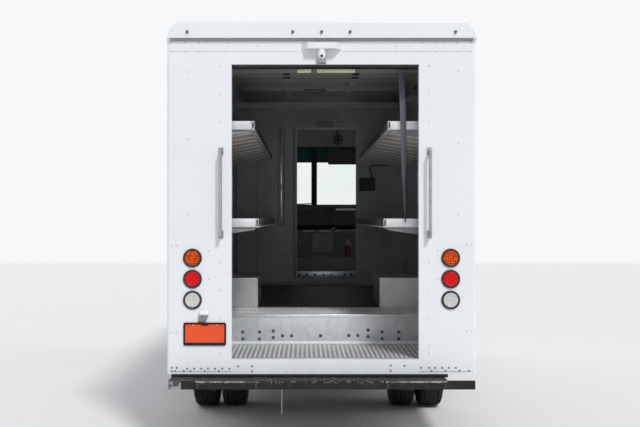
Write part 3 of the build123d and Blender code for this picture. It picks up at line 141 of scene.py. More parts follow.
def makeBlock(name, low, high, width=0, steps=2, face="rear", work=(), side=1):
    # a box between two corners, mirrored when the side is -1
    pickNone()
    xs = sorted((side * low[0], side * high[0]))
    low = Vector((xs[0], *low[1:]))
    high = Vector((xs[1], *high[1:]))
    bpy.ops.mesh.primitive_cube_add(size=1, location=(low + high) / 2, scale=high - low)
    return shapePiece(nameNew(name), face, work, width, steps, 30)


def makeRound(name, middle, radius, depth, turn="up", sides=24, tip=None, work=(), width=0, steps=2,
              angle=30):
    # a cylinder, or a cone whose tip points along the turn, which is a way's name or three angles
    pickNone()
    bpy.ops.mesh.primitive_cone_add(
        vertices=sides, radius1=radius, radius2=radius if tip is None else tip, depth=depth, location=middle,
        rotation=[math.radians(part) for part in turns.get(turn, turn)],
    )
    return shapePiece(nameNew(name), turn, work, width, steps, angle)


def makeRing(name, middle, radius, thickness, turn="up", sides=32):
    pickNone()
    bpy.ops.mesh.primitive_torus_add(
        major_radius=radius, minor_radius=thickness, major_segments=sides, minor_segments=8, location=middle,
        rotation=[math.radians(part) for part in turns[turn]],
    )
    return nameNew(name)


def startOutline(name, outline, side=1):
    # a flat face whose corners are moved to the outline's places
    pickNone()
    bpy.ops.mesh.primitive_circle_add(vertices=len(outline), radius=1, fill_type="NGON")
    piece = nameNew(name)
    for vertex, (x, y, z) in zip(piece.data.vertices, outline):
        vertex.co = (side * x, y, z)
    return piece


def thicken(piece, step):
    # pulls a flat piece out into a solid
    pickOnly(piece)
    bpy.ops.object.mode_set(mode="EDIT")
    bpy.ops.mesh.select_all(action="SELECT")
    pushFaces(step)
    bpy.ops.mesh.select_all(action="SELECT")
    bpy.ops.mesh.normals_make_consistent(inside=False)
    leaveEdit()
    return piece


def makeSheet(name, outline, step, width=0, steps=2, angle=30, work=(), side=1):
    sheet = thicken(startOutline(name, outline, side), step)
    return shapePiece(sheet, "rear", work, width, steps, angle)


def makeBorder(name, outline, border, step, width=0, steps=2, angle=30, side=1):
    # a flat ring inside the outline, pulled out into a solid
    ring = startOutline(name, outline, side)
    pickFaces(ring, lambda middle, normal: True)
    insetFaces(border)
    bpy.ops.mesh.delete(type="FACE")
    leaveEdit()
    return shapePiece(thicken(ring, step), "rear", (), width, steps, angle)


def softCorners(low, high, radius):
    # a rectangle's outline with round corners, whose centres lie at low and high
    outline = []
    for corner, (a, b) in enumerate((high, (low[0], high[1]), low, (high[0], low[1]))):
        for step in range(5):
            angle = math.radians(90 * corner + 22.5 * step)
            outline.append((a + radius * math.cos(angle), b + radius * math.sin(angle)))
    return outline


def makeTube(name, places, radius, roundSteps, closed=False, lengthSteps=12):
    # a bent tube, with its thickness on the points, because the curve's box grows by each point's radius
    curve = bpy.data.curves.new(name, "CURVE")
    curve.dimensions = "3D"
    line = curve.splines.new("NURBS")
    line.points.add(len(places) - 1)
    for point, place in zip(line.points, places):
        point.co = (*place, 1)
        point.radius = radius
    line.order_u = 3
    line.use_cyclic_u = closed
    line.use_endpoint_u = not closed
    line.resolution_u = lengthSteps
    curve.bevel_depth = 1.0
    curve.bevel_resolution = roundSteps
    curve.use_fill_caps = not closed
    tube = bpy.data.objects.new(name, curve)
    scene.collection.objects.link(tube)
    return tube


def makeMeshTube(name, *plan):
    pickOnly(makeTube(name, *plan))
    bpy.ops.object.convert(target="MESH")
    tube = bpy.context.object
    tube.name = name
    return tube


def placePiece(piece, place, degrees, axis="X"):
    piece.data.transform(Matrix.Translation(place) @ Matrix.Rotation(math.radians(degrees), 4, axis))
    return piece


def joinPieces(parts):
    # joined under the first part's name
    pickOnly(parts[0])
    for part in parts:
        part.select_set(True)
    if len(parts) > 1:
        bpy.ops.object.join()
    joined = bpy.context.object
    joined.data.name = joined.name
    return joined


def spreadCopies(pattern, places):
    # one copy of the pattern's mesh at each place or matrix, joined under the pattern's name
    name = pattern.name
    parts = []
    for place in places:
        move = place if isinstance(place, Matrix) else Matrix.Translation(place)
        mesh = pattern.data.copy()
        mesh.transform(move)
        copy = bpy.data.objects.new(name, mesh)
        scene.collection.objects.link(copy)
        parts.append(copy)
    bpy.data.objects.remove(pattern)
    parts[0].name = name
    return joinPieces(parts)


def finishPiece(piece, finish, smooth=30, body="van"):
    # a list of parts is joined first
    if isinstance(piece, list):
        piece = joinPieces(piece)
    pickOnly(piece)
    if smooth:
        bpy.ops.object.shade_smooth_by_angle(angle=math.radians(smooth))
    piece.data.materials.clear()
    piece.data.materials.append(finishes[finish])
    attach(piece, body)
    piece.select_set(False)
    return piece


# the stiff wire that hangs under the bumper
wirePlan = {
    "points": [
        (-0.2920, -3.547, 0.4997), (-0.2925, -3.548, 0.4677), (-0.2900, -3.545, 0.4317),
        (-0.2940, -3.546, 0.3937), (-0.2920, -3.549, 0.3537), (-0.2930, -3.547, 0.3217),
    ],
    "radius": 0.003,
    "length": 0.178,
}
wireLead = makeTube("wireLead", wirePlan["points"], wirePlan["radius"], 4)
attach(wireLead, "van")
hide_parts("hanging_wire")
print("wire made")


# finishes
def addNode(tree, kind, inputs=None, **settings):
    node = tree.nodes.new("ShaderNode" + kind)
    for key, value in settings.items():
        setattr(node, key, value)
    for key, value in (inputs or {}).items():
        node.inputs[key].default_value = value
    return node


def noiseField(tree, place, scale, detail=4.0, spread=(1, 1, 1)):
    stretch = addNode(tree, "Mapping", {"Scale": spread})
    tree.links.new(place, stretch.inputs["Vector"])
    noise = addNode(tree, "TexNoise", {"Scale": scale, "Detail": detail, "Roughness": 0.55})
    tree.links.new(stretch.outputs["Vector"], noise.inputs["Vector"])
    return noise.outputs["Fac"]


def cutField(tree, value, low, high, newLow=0.0, newHigh=1.0):
    limits = {"From Min": low, "From Max": high, "To Min": newLow, "To Max": newHigh}
    cut = addNode(tree, "MapRange", limits, clamp=True)
    tree.links.new(value, cut.inputs["Value"])
    return cut.outputs["Result"]


def mixShade(tree, factor, first, second):
    mix = addNode(tree, "Mix", data_type="RGBA")
    for socket, value in ((mix.inputs[0], factor), (mix.inputs[6], first), (mix.inputs[7], second)):
        if hasattr(value, "node"):
            tree.links.new(value, socket)
        else:
            socket.default_value = (*value, 1)
    return mix.outputs[2]


def multiply(tree, first, second):
    product = addNode(tree, "Math", operation="MULTIPLY")
    tree.links.new(first, product.inputs[0])
    tree.links.new(second, product.inputs[1])
    return product.outputs[0]


def makeFinish(
    name, base, patch, roughness, metallic=0.0, patchScale=2.5, patchCut=(0.45, 0.75), grainScale=180.0,
    grainDepth=0.0003, grainSpread=(1, 1, 1), roughSwing=0.1, coat=0.0, wear=None, wearWidth=0.004,
    lowDirt=None,
    dirtHeight=(0.5, 1.1), shine=0.5,
):
    # base colour with patches, fine grain as bump, wear on edges, dirt low down
    finish = bpy.data.materials.new(name)
    finish.use_nodes = True
    tree = finish.node_tree
    shader = tree.nodes["Principled BSDF"]
    place = addNode(tree, "TexCoord").outputs["Object"]
    grain = noiseField(tree, place, grainScale, 3.0, grainSpread)
    blotch = noiseField(tree, place, patchScale, 6.0)
    shade = mixShade(tree, cutField(tree, blotch, *patchCut), base, patch)
    if wear is not None:
        edge = addNode(tree, "Bevel", {"Radius": wearWidth}, samples=4)
        real = addNode(tree, "NewGeometry")
        sameWay = addNode(tree, "VectorMath", operation="DOT_PRODUCT")
        tree.links.new(edge.outputs["Normal"], sameWay.inputs[0])
        tree.links.new(real.outputs["Normal"], sameWay.inputs[1])
        mask = cutField(tree, sameWay.outputs["Value"], 0.98, 0.80)
        broken = cutField(tree, noiseField(tree, place, 30.0, 5.0), 0.42, 0.58)
        shade = mixShade(tree, multiply(tree, mask, broken), shade, wear)
    if lowDirt is not None:
        height = addNode(tree, "SeparateXYZ")
        tree.links.new(place, height.inputs[0])
        low = cutField(tree, height.outputs["Z"], dirtHeight[1], dirtHeight[0])
        streak = cutField(tree, noiseField(tree, place, 9.0, 6.0, (1, 1, 0.35)), 0.35, 0.75)
        shade = mixShade(tree, multiply(tree, low, streak), shade, lowDirt)
    tree.links.new(shade, shader.inputs["Base Color"])
    rough = cutField(tree, grain, 0.3, 0.7, max(0.02, roughness - roughSwing),
                     min(1.0, roughness + roughSwing))
    tree.links.new(rough, shader.inputs["Roughness"])
    shader.inputs["Metallic"].default_value = metallic
    shader.inputs["Specular IOR Level"].default_value = shine
    shader.inputs["Coat Weight"].default_value = coat
    shader.inputs["Coat Roughness"].default_value = 0.12
    bump = addNode(tree, "Bump", {"Strength": 0.6, "Distance": grainDepth})
    tree.links.new(grain, bump.inputs["Height"])
    tree.links.new(bump.outputs["Normal"], shader.inputs["Normal"])
    return finish


def makeGlass(name, tint):
    faint = tuple(0.96 * part for part in tint)
    glass = makeFinish(name, tint, faint, 0.02, grainDepth=0.00002, roughSwing=0.01)
    shader = glass.node_tree.nodes["Principled BSDF"]
    shader.inputs["Transmission Weight"].default_value = 1.0
    shader.inputs["IOR"].default_value = 1.1
    return glass


def makeLens(name, deep, bright, dotScale):
    # moulded lens over rows of small dots, the bright cells in its colour painted highlights from the lamp's
    # optics
    lens = makeFinish(name, deep, deep, 0.32, grainDepth=0.0001, roughSwing=0.06, shine=0.15)
    tree = lens.node_tree
    place = addNode(tree, "TexCoord").outputs["Object"]
    cells = addNode(tree, "TexVoronoi", {"Scale": dotScale, "Randomness": 0.35})
    tree.links.new(place, cells.inputs["Vector"])
    shade = mixShade(tree, cutField(tree, cells.outputs["Distance"], 0.42, 0.12), deep, bright)
    tree.links.new(shade, tree.nodes["Principled BSDF"].inputs["Base Color"])
    return lens


def grey(shade):
    return (shade, shade, shade)


# each finish: base colour, patch colour, roughness and what else differs
ribWork = dict(patchScale=14.0, patchCut=(0.4, 0.8), grainScale=120.0, grainDepth=0.0004,
               grainSpread=(0.06, 1, 1))
slatGrain = dict(patchScale=5.0, grainScale=900.0, grainDepth=0.00005)
finishPlan = {
    "whitePaint": ((0.84, 0.86, 0.88), (0.80, 0.82, 0.845), 0.30, dict(
        patchScale=1.4, grainScale=60.0, grainDepth=0.0002, roughSwing=0.06, coat=0.35,
        lowDirt=(0.72, 0.72, 0.71), dirtHeight=(0.55, 0.70))),
    # grey rivet heads: on the white body this grey is painted shade on rivets painted white; on the tread and
    # plate it is their own grey
    "rivetGreyAndShade": ((0.56, 0.57, 0.59), (0.44, 0.44, 0.45), 0.45, dict(patchScale=20.0)),
    "rivetDark": ((0.20, 0.20, 0.21), (0.12, 0.12, 0.125), 0.45, dict(patchScale=20.0)),
    "seamShade": ((0.55, 0.56, 0.57), grey(0.45), 0.6, dict(patchScale=12.0)),
    "millAluminium": ((0.60, 0.61, 0.62), (0.46, 0.47, 0.48), 0.42, dict(
        metallic=0.75, patchScale=5.0, grainScale=240.0, grainDepth=0.0002, grainSpread=(0.05, 1, 1),
        wear=(0.75, 0.76, 0.77))),
    "shelfBrown": ((0.60, 0.54, 0.49), (0.42, 0.375, 0.345), 0.5, dict(
        metallic=0.1, patchScale=4.0, grainScale=160.0, grainDepth=0.0002, grainSpread=(1, 0.06, 1),
        wear=(0.72, 0.68, 0.64), wearWidth=0.006)),
    "treadAluminium": ((0.66, 0.67, 0.68), (0.52, 0.53, 0.54), 0.42, dict(
        ribWork, metallic=0.45, wear=(0.84, 0.85, 0.86), wearWidth=0.003)),
    "ribAluminium": ((0.93, 0.94, 0.95), (0.80, 0.81, 0.82), 0.42, dict(
        ribWork, metallic=0.2, wear=(0.90, 0.91, 0.92), wearWidth=0.003)),
    "treadSheet": ((0.47, 0.48, 0.49), (0.35, 0.36, 0.37), 0.5, dict(
        metallic=0.45, patchScale=10.0, patchCut=(0.4, 0.8), grainScale=140.0, grainDepth=0.0005,
        grainSpread=(0.05, 1, 1), wear=(0.74, 0.75, 0.76), wearWidth=0.003)),
    "linerGrey": ((0.76, 0.78, 0.80), (0.62, 0.635, 0.65), 0.5, dict(
        patchScale=3.0, grainScale=90.0, grainSpread=(1, 1, 0.2), wear=grey(0.26), wearWidth=0.003)),
    # on the cargo floor this near-black is painted shade over bare aluminium planks
    "deckBlack": ((0.034, 0.036, 0.043), (0.058, 0.060, 0.068), 0.6, dict(
        patchScale=4.0, patchCut=(0.5, 0.85), grainScale=260.0, grainDepth=0.0006, shine=0.25)),
    "chassisBlack": ((0.022, 0.022, 0.023), (0.075, 0.068, 0.06), 0.6, dict(
        patchScale=7.0, patchCut=(0.48, 0.8), grainDepth=0.0005, wear=(0.10, 0.085, 0.07))),
    "stepBlack": ((0.013, 0.013, 0.015), (0.030, 0.031, 0.034), 0.55, dict(
        patchScale=16.0, patchCut=(0.5, 0.72), grainScale=120.0, grainDepth=0.0005, wear=(0.10, 0.105, 0.11),
        shine=0.25)),
    "tyreRubber": (grey(0.016), (0.046, 0.041, 0.036), 0.8, dict(
        patchScale=9.0, patchCut=(0.45, 0.8), grainScale=220.0, grainDepth=0.0005, wear=(0.060, 0.056, 0.050),
        shine=0.25)),
    "wheelEnamel": (grey(0.74), (0.50, 0.48, 0.45), 0.4, dict(
        patchScale=8.0, patchCut=(0.5, 0.85), coat=0.2, wear=(0.32, 0.27, 0.22))),
    "rubberBlack": ((0.020, 0.020, 0.021), (0.045, 0.044, 0.043), 0.55, dict(patchScale=20.0)),
    "tubeSteel": ((0.42, 0.43, 0.45), (0.30, 0.31, 0.33), 0.30, dict(
        metallic=0.85, patchScale=14.0, grainScale=200.0, grainSpread=(1, 1, 0.1))),
    "grainPlastic": ((0.028, 0.028, 0.029), grey(0.045), 0.55, dict(
        patchScale=6.0, grainScale=500.0, grainDepth=0.0004)),
    "seatVinyl": ((0.035, 0.035, 0.038), (0.055, 0.054, 0.053), 0.45, dict(
        patchScale=8.0, grainScale=320.0, grainDepth=0.0008)),
    "castEngine": (grey(0.10), (0.16, 0.12, 0.09), 0.65,
                   dict(metallic=0.3, patchScale=12.0, grainDepth=0.001)),
    "dustySteel": ((0.075, 0.075, 0.077), (0.13, 0.11, 0.09), 0.5, dict(
        metallic=0.5, patchScale=15.0, wear=(0.28, 0.27, 0.25))),
    "whiteMoulding": ((0.83, 0.85, 0.87), (0.76, 0.78, 0.80), 0.35, dict(
        patchScale=10.0, grainDepth=0.0001, coat=0.2)),
    "markerLens": ((0.13, 0.030, 0.038), (0.08, 0.020, 0.026), 0.35, dict(patchScale=60.0)),
    "plateOrange": ((0.86, 0.085, 0.008), (0.80, 0.070, 0.006), 0.4, dict(patchScale=25.0)),
    "darkBolt": ((0.10, 0.10, 0.105), (0.06, 0.06, 0.062), 0.5, dict(metallic=0.3, patchScale=30.0)),
    "boltSteel": ((0.30, 0.30, 0.31), (0.18, 0.16, 0.14), 0.4, dict(metallic=0.8, patchScale=30.0)),
    "brightEdge": ((0.74, 0.75, 0.76), (0.60, 0.61, 0.62), 0.35, dict(
        metallic=0.6, patchScale=9.0, grainSpread=(0.1, 1, 1), wear=(0.85, 0.86, 0.87))),
    "stripYellow": ((0.90, 0.95, 0.62), (0.78, 0.84, 0.56), 0.35, dict(patchScale=40.0, coat=0.3)),
    "linerPale": ((0.52, 0.51, 0.50), (0.42, 0.41, 0.40), 0.5, dict(patchScale=6.0, wear=(0.66, 0.65, 0.63))),
    "slatGrey": ((0.21, 0.205, 0.195), (0.17, 0.165, 0.155), 0.5, dict(
        slatGrain, wear=(0.34, 0.33, 0.32), wearWidth=0.002)),
    # dim and dark slat tones are painted shade on the slats further in
    "slatShadeDim": ((0.120, 0.126, 0.124), (0.090, 0.095, 0.094), 0.5, slatGrain),
    "slatBlue": ((0.26, 0.28, 0.295), (0.20, 0.215, 0.225), 0.45, slatGrain),
    "slatShadeDark": ((0.060, 0.060, 0.062), (0.040, 0.040, 0.041), 0.5, slatGrain),
    "gussetGrey": ((0.30, 0.30, 0.31), (0.20, 0.19, 0.18), 0.5, dict(patchScale=7.0)),
    # painted shade for the inner faces of the shelf lips
    "lipShadeDark": ((0.11, 0.106, 0.106), (0.07, 0.068, 0.068), 0.6, dict(patchScale=7.0)),
    "dullBlue": ((0.60, 0.66, 0.70), (0.46, 0.51, 0.55), 0.34, dict(
        metallic=0.8, patchScale=16.0, grainScale=90.0, grainDepth=0.0002)),
    "polishedSteel": ((0.62, 0.63, 0.64), (0.50, 0.51, 0.52), 0.30, dict(
        metallic=0.9, patchScale=12.0, grainScale=90.0, grainDepth=0.0002, grainSpread=(1, 1, 0.05))),
    "wireSteel": ((0.34, 0.34, 0.35), (0.22, 0.21, 0.20), 0.4, dict(metallic=0.5, patchScale=60.0)),
    "ledgeBrown": ((0.26, 0.235, 0.22), (0.17, 0.155, 0.145), 0.6,
                   dict(patchScale=6.0, wear=(0.34, 0.32, 0.30))),
    "coverGrey": ((0.075, 0.078, 0.082), (0.050, 0.052, 0.055), 0.5, dict(patchScale=6.0, wear=grey(0.16))),
    "panelGrey": ((0.17, 0.178, 0.185), (0.12, 0.126, 0.132), 0.5, dict(patchScale=6.0, wear=grey(0.30))),
    "doorGrey": ((0.80, 0.82, 0.83), (0.68, 0.69, 0.70), 0.5, dict(
        patchScale=3.0, grainScale=90.0, grainSpread=(1, 1, 0.2), wear=(0.58, 0.58, 0.57), wearWidth=0.003)),
    "scrapedSteel": ((0.34, 0.35, 0.36), (0.06, 0.06, 0.062), 0.45, dict(
        metallic=0.3, patchScale=24.0, patchCut=(0.44, 0.60), wear=grey(0.5), wearWidth=0.003)),
    "blackTrim": ((0.010, 0.010, 0.011), grey(0.020), 0.6, dict(patchScale=18.0, shine=0.25)),
    "linerBrown": ((0.27, 0.24, 0.215), (0.19, 0.17, 0.155), 0.8, dict(
        patchScale=7.0, grainScale=400.0, grainDepth=0.0008)),
    "tintTeal": ((0.006, 0.060, 0.060), (0.004, 0.045, 0.046), 0.7, dict(patchScale=3.0)),
    "linerBright": ((0.74, 0.73, 0.72), (0.62, 0.61, 0.60), 0.5,
                    dict(patchScale=6.0, wear=(0.82, 0.81, 0.80))),
    "shadeGrey": ((0.30, 0.31, 0.32), (0.24, 0.25, 0.26), 0.5, dict(patchScale=9.0)),
    "boxGrey": ((0.05, 0.052, 0.048), (0.08, 0.08, 0.075), 0.5, dict(patchScale=14.0, wear=grey(0.2))),
    "bottleRed": ((0.15, 0.008, 0.010), (0.11, 0.006, 0.008), 0.3, dict(patchScale=18.0, coat=0.4)),
    # bright specks on black steel: worn bare steel and painted glints
    "wornAndGlintSteel": ((0.030, 0.031, 0.033), (0.36, 0.38, 0.40), 0.40, dict(
        metallic=0.4, patchScale=38.0, patchCut=(0.54, 0.64), wear=(0.16, 0.165, 0.17), wearWidth=0.003)),
    "mirrorShine": ((0.86, 0.87, 0.88), (0.82, 0.83, 0.84), 0.06, dict(
        metallic=1.0, roughSwing=0.02, grainDepth=0.00002)),
    "webbing": ((0.125, 0.125, 0.155), (0.088, 0.088, 0.112), 0.75, dict(
        patchScale=9.0, grainScale=700.0, grainDepth=0.0006, grainSpread=(1, 1, 0.5))),
}
finishes = {name: makeFinish(name, *values, **settings) for name, (*values, settings) in finishPlan.items()}
finishes["clearGlass"] = makeGlass("clearGlass", (0.90, 0.95, 0.94))
finishes["redLens"] = makeLens("redLens", (0.62, 0.001, 0.004), (1.0, 0.030, 0.040), 90.0)
finishes["amberLens"] = makeLens("amberLens", (0.50, 0.030, 0.001), (1.0, 0.26, 0.01), 55.0)
finishes["clearLens"] = makeLens("clearLens", (0.52, 0.51, 0.49), (1.0, 0.99, 0.97), 100.0)

# which nodes of the frame take which finish
nodeFinishes = {
    "whitePaint": "body_side_left body_side_right roof rear_frame front_shell hood side_door_left side_door_right",
    "millAluminium": "wheel_boxes door_tracks roof_bows",
    "shelfBrown": "shelves",
    "treadSheet": "rear_step",
    "linerGrey": "bulkhead",
    "doorGrey": "bulkhead_door",
    "slatGrey": "roll_up_door",
    "coverGrey": "engine_cover",
    "deckBlack": "cargo_floor cab_floor",
    "chassisBlack": "chassis_frame leaf_springs front_axle rear_axle drive_shaft fuel_tank floor_bearers",
    "stepBlack": "rear_bumper front_bumper cab_steps",
    "tyreRubber": "front_tyre_left front_tyre_right rear_tyres_left rear_tyres_right",
    "wheelEnamel": "front_rim_left front_rim_right rear_rims_left rear_rims_right",
    "clearGlass": "windshield door_glass_left door_glass_right",
    "rubberBlack": "lamp_grommets",
    "tubeSteel": "grab_handles",
    "grainPlastic": "grille dash steering_column steering_wheel mirrors",
    "castEngine": "engine",
    "dustySteel": "seat_base knuckle_left knuckle_right exhaust wire_hook hanging_wire",
    "whiteMoulding": "rear_camera",
    "clearLens": "headlamps",
    "redLens": "rear_lamps",
    "markerLens": "marker_lamps",
    "seatVinyl": "seat_cushions pull_strap",
}
for finish, names in nodeFinishes.items():
    for name in names.split():
        for place in nodes[name].material_slots:
            place.material = finishes[finish]
wireLead.data.materials.append(finishes["wireSteel"])
print("finishes made")

# rear face: rivets in rows, by height, and in columns, by distance from the middle
rearFaceY = -3.385
rivetPlan = {"radius": 0.0062, "height": 0.0024, "sides": 10, "lowLine": 0.66, "lowScale": 1.35}
rivetRows = {
    3.054: (-1.127, -1.016, -0.912, -0.860, -0.700, 0.751, 0.855, 0.908, 1.012, 1.112),
    3.030: (-0.476, 0.560),
    2.989: (-1.116, -1.016, -0.912, -0.860, -0.707, -0.476, 0.560, 0.748, 0.852, 0.904, 1.008, 1.108),
    1.552: (1.079, 1.114),
    1.545: (-1.114, -1.077),
    0.907: (1.079, 1.114),
    0.897: (-1.114, -1.077),
    0.653: (0.514,),
    0.651: (0.617,),
    0.647: (-0.621, -0.516),
    0.636: (-1.114, -1.077, 0.739, 0.800, 0.844, 0.897, 0.946, 0.999),
    0.630: (-1.000, -0.947, -0.895, -0.844, -0.792, -0.738, -0.686),
    0.614: (0.818, 0.921, 1.025, 1.096),
    0.613: (0.514,),
    0.611: (-1.113, -1.089, -1.025, -0.975, -0.869, -0.764),
    0.610: (-0.516,),
}
rivetColumns = {
    -0.997: (2.836,),
    -0.994: (2.336, 1.777),
    -0.838: (1.503, 1.292),
    -0.750: (2.881, 2.673, 2.464, 2.048, 1.839, 1.423, 1.214, 1.006, 0.805, 0.746),
    0.801: (2.881, 2.673, 2.464, 1.423, 1.214, 1.006, 0.801, 0.750),
    0.862: (1.505, 1.297),
    1.019: (2.844, 2.308, 1.777),
}


def makeRivet(name, way):
    # a low dome that faces one way
    radius = rivetPlan["radius"]
    height = rivetPlan["height"]
    out = Vector(ways[way])
    work = [(insetFaces, radius * 0.3), (moveFaces, out * height * 0.3)]
    rivet = makeRound(name, (0, 0, 0), radius, height, way, rivetPlan["sides"], radius * 0.62, work)
    rivet.data.transform(Matrix.Translation(out * height * 0.45))
    return rivet


rearRivets = [(x, rearFaceY, z) for z, xs in rivetRows.items() for x in xs]
rearRivets += [(x, rearFaceY, z) for x, zs in rivetColumns.items() for z in zs]
highPlaces = [place for place in rearRivets if place[2] > rivetPlan["lowLine"]]
lowPlaces = [place for place in rearRivets if place[2] <= rivetPlan["lowLine"]]
# the rear face rivets are painted white; their grey here is painted shade
finishPiece(spreadCopies(makeRivet("rearFaceRivets", "rear"), highPlaces), "rivetGreyAndShade", 40)
lowRivet = makeRivet("rearLowRivets", "rear")
lowRivet.data.transform(Matrix.Scale(rivetPlan["lowScale"], 4))
finishPiece(spreadCopies(lowRivet, lowPlaces), "rivetDark", 40)

# lap seams, as (start x, end x, z), and a shade line under the roof's cap
seamPlan = {"height": 0.0035, "proud": 0.0012}
for name, finish, runs in (
    ("rearSeams", "seamShade", ((-1.118, -0.165, 2.9865), (0.155, 1.118, 2.9865))),
    ("rearLowSeams", "shadeGrey", ((-1.128, -0.672, 0.606), (0.726, 1.128, 0.606))),
):
    seams = [makeBlock(name, (startX, rearFaceY - seamPlan["proud"], z),
                       (endX, rearFaceY + 0.002, z + seamPlan["height"]), 0.0005) for startX, endX, z in runs]
    finishPiece(seams, finish)
capOutline = [(-1.126, -3.4155, 3.0848), (1.126, -3.4155, 3.0848), (1.126, -3.3865, 3.0640),
              (-1.126, -3.3865, 3.0640)]
finishPiece(makeSheet("capShade", capOutline, (0, -0.0008, -0.0012)), "shadeGrey", 0)
print("rear face made")

# rear lamps: a moulded lens with rings of small domes, and a bright lip on each grommet
lampPlan = {
    "x": 0.960, "radius": 0.0535, "dotRadius": 0.0075, "dotRings": ((6, 0.019), (12, 0.037)),
    "lamps": (("A", "amberLens", 1.452), ("R", "redLens", 1.296), ("C", "clearLens", 1.140)),
}
lips = []
for letter, finish, lampZ in lampPlan["lamps"]:
    for side, sideName in bothSides:
        middle = Vector((side * lampPlan["x"], -3.3955, lampZ))
        lens = makeRound("rearLens" + letter + sideName, middle, lampPlan["radius"], 0.006, "rear", 32, None,
                         [(insetFaces, 0.004, 0.0015), (insetFaces, 0.003, -0.002)])
        spots = [middle + Vector((0, -0.003, 0))]
        for count, reach in lampPlan["dotRings"]:
            for step in range(count):
                angle = 2 * math.pi * step / count + 0.3
                spots.append(middle + Vector((reach * math.cos(angle), -0.003, reach * math.sin(angle))))
        dot = makeRound("rearLensDots", (0, 0, 0), lampPlan["dotRadius"], 0.003, "rear", 10, 0.004)
        finishPiece([lens, spreadCopies(dot, spots)], finish, 40)
        lips.append(makeRing("grommetLips", (side * lampPlan["x"], -3.3935, lampZ), 0.0655, 0.0035, "rear",
                             40))
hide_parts("rear_lamps")
finishPiece(lips, "rubberBlack", 60)

# licence plate: frame, blank plate and bolts
platePlan = {"low": (-1.027, 0.8015), "high": (-0.7095, 0.9725), "border": 0.013, "corner": 0.014}
lowX, lowZ = platePlan["low"]
highX, highZ = platePlan["high"]
corner = platePlan["corner"]
plateOutline = softCorners((lowX + corner, lowZ + corner), (highX - corner, highZ - corner), corner)
plateFrame = makeSheet("plateFrame", [(x, rearFaceY, z) for x, z in plateOutline], (0, -0.010, 0), 0.0015, 2,
                       50,
                       [(insetFaces, platePlan["border"]), (pushFaces, (0, 0.006, 0))])
plateTab = makeBlock("plateTab", (-0.894, rearFaceY - 0.0115, 0.950), (-0.842, rearFaceY, 0.972), 0.003)
finishPiece([plateFrame, plateTab], "blackTrim")
plateSheet = makeBlock("plateSheet", (lowX + 0.008, rearFaceY - 0.0058, lowZ + 0.022),
                       (highX - 0.008, rearFaceY - 0.0042, highZ - 0.012),
                       work=[(insetFaces, 0.006), (insetFaces, 0.002, -0.0006)])
finishPiece(plateSheet, "plateOrange")
plateBolt = makeRound("plateBolts", (0, -0.002, 0), 0.006, 0.005, "rear", 6, 0.005, width=0.0008, steps=1)
plateBolts = spreadCopies(plateBolt, [(x, rearFaceY - 0.006, 0.954) for x in (-0.956, -0.776)])
finishPiece(plateBolts, "rivetGreyAndShade")
print("lamps and plate made")

# rear tread: long ribs, rivets on both edges, bolts in the riser, rounded nosing, and a pale plate for the lit
# part of the deck, where the painted shade of the black deck ends
treadPlan = {"top": 0.699, "pitch": 0.036, "ribWidth": 0.014, "ribHeight": 0.0032, "rear": -3.262,
             "front": -2.492}
halfRib = treadPlan["ribWidth"] / 2
rib = makeBlock("treadRibs", (-halfRib, treadPlan["rear"], treadPlan["top"] - 0.001),
                (halfRib, treadPlan["front"], treadPlan["top"] + treadPlan["ribHeight"]), 0.0022)
ribPlaces = [(treadPlan["pitch"] * (step - 29), 0, 0) for step in range(59)]
finishPiece(spreadCopies(rib, ribPlaces), "ribAluminium")
edgeRivets = [(0.078 * (step - 13), y, treadPlan["top"]) for y in (-3.284, -2.466) for step in range(27)]
finishPiece(spreadCopies(makeRivet("treadRivets", "up"), edgeRivets), "rivetGreyAndShade", 40)
for name, low, high, width, finish in (
    ("riserSheet", (-1.087, -2.4416, 0.7005), (1.087, -2.4404, 0.9215), 0.0004, "treadAluminium"),
    ("riserFoot", (-1.087, -2.4446, 0.7005), (1.087, -2.4410, 0.7250), 0.0014, "ribAluminium"),
    # pale plate: the deck's own aluminium where light falls in; the black deck behind it is painted shade
    ("deckLitPlate", (-1.088, -2.402, 0.9478), (1.088, -1.756, 0.9502), 0.001, "ribAluminium"),
):
    finishPiece(makeBlock(name, low, high, width), finish)
boltPlan = {
    "radius": 0.0150, "height": 0.006, "y": -2.4435,
    "columns": {
        -0.640: (0.802, 0.744), -0.502: (0.802, 0.744), -0.387: (0.810, 0.756), -0.310: (0.771,),
        -0.235: (0.771,),
        0.006: (0.771,), 0.241: (0.773,), 0.316: (0.773,), 0.401: (0.818, 0.764), 0.518: (0.803, 0.747),
        0.656: (0.803, 0.747),
    },
}
bolt = makeRound("riserBolts", (0, 0, 0), boltPlan["radius"], boltPlan["height"], "rear", 14, 0.0110,
                 [(insetFaces, 0.003, 0.001)])
boltPlaces = [(x, boltPlan["y"], z) for x, zs in boltPlan["columns"].items() for z in zs]
finishPiece(spreadCopies(bolt, boltPlaces), "darkBolt", 50)
nosingLine = [(-2.4412, 0.922), (-2.4436, 0.922), (-2.4440, 0.944), (-2.4415, 0.9495), (-2.4365, 0.9516),
              (-2.404, 0.9508), (-2.404, 0.9484), (-2.4355, 0.9486), (-2.4400, 0.9465), (-2.4412, 0.9430)]
nosing = makeSheet("nosingStrip", [(-1.088, y, z) for y, z in nosingLine], (2.176, 0, 0), 0.0006, 2, 50)
finishPiece(nosing, "brightEdge", 40)
dimple = makeRound("deckDimples", (0, 0, 0.9506), 0.0085, 0.0022, "up", 8, 0.0065)
dimplePlaces = [(0.036 * (step - 29.5) + 0.009 * (row % 2), y, 0)
                for row, y in enumerate((-2.36, -2.12, -2.09, -1.80)) for step in range(60)]
finishPiece(spreadCopies(dimple, dimplePlaces), "shadeGrey", 40)

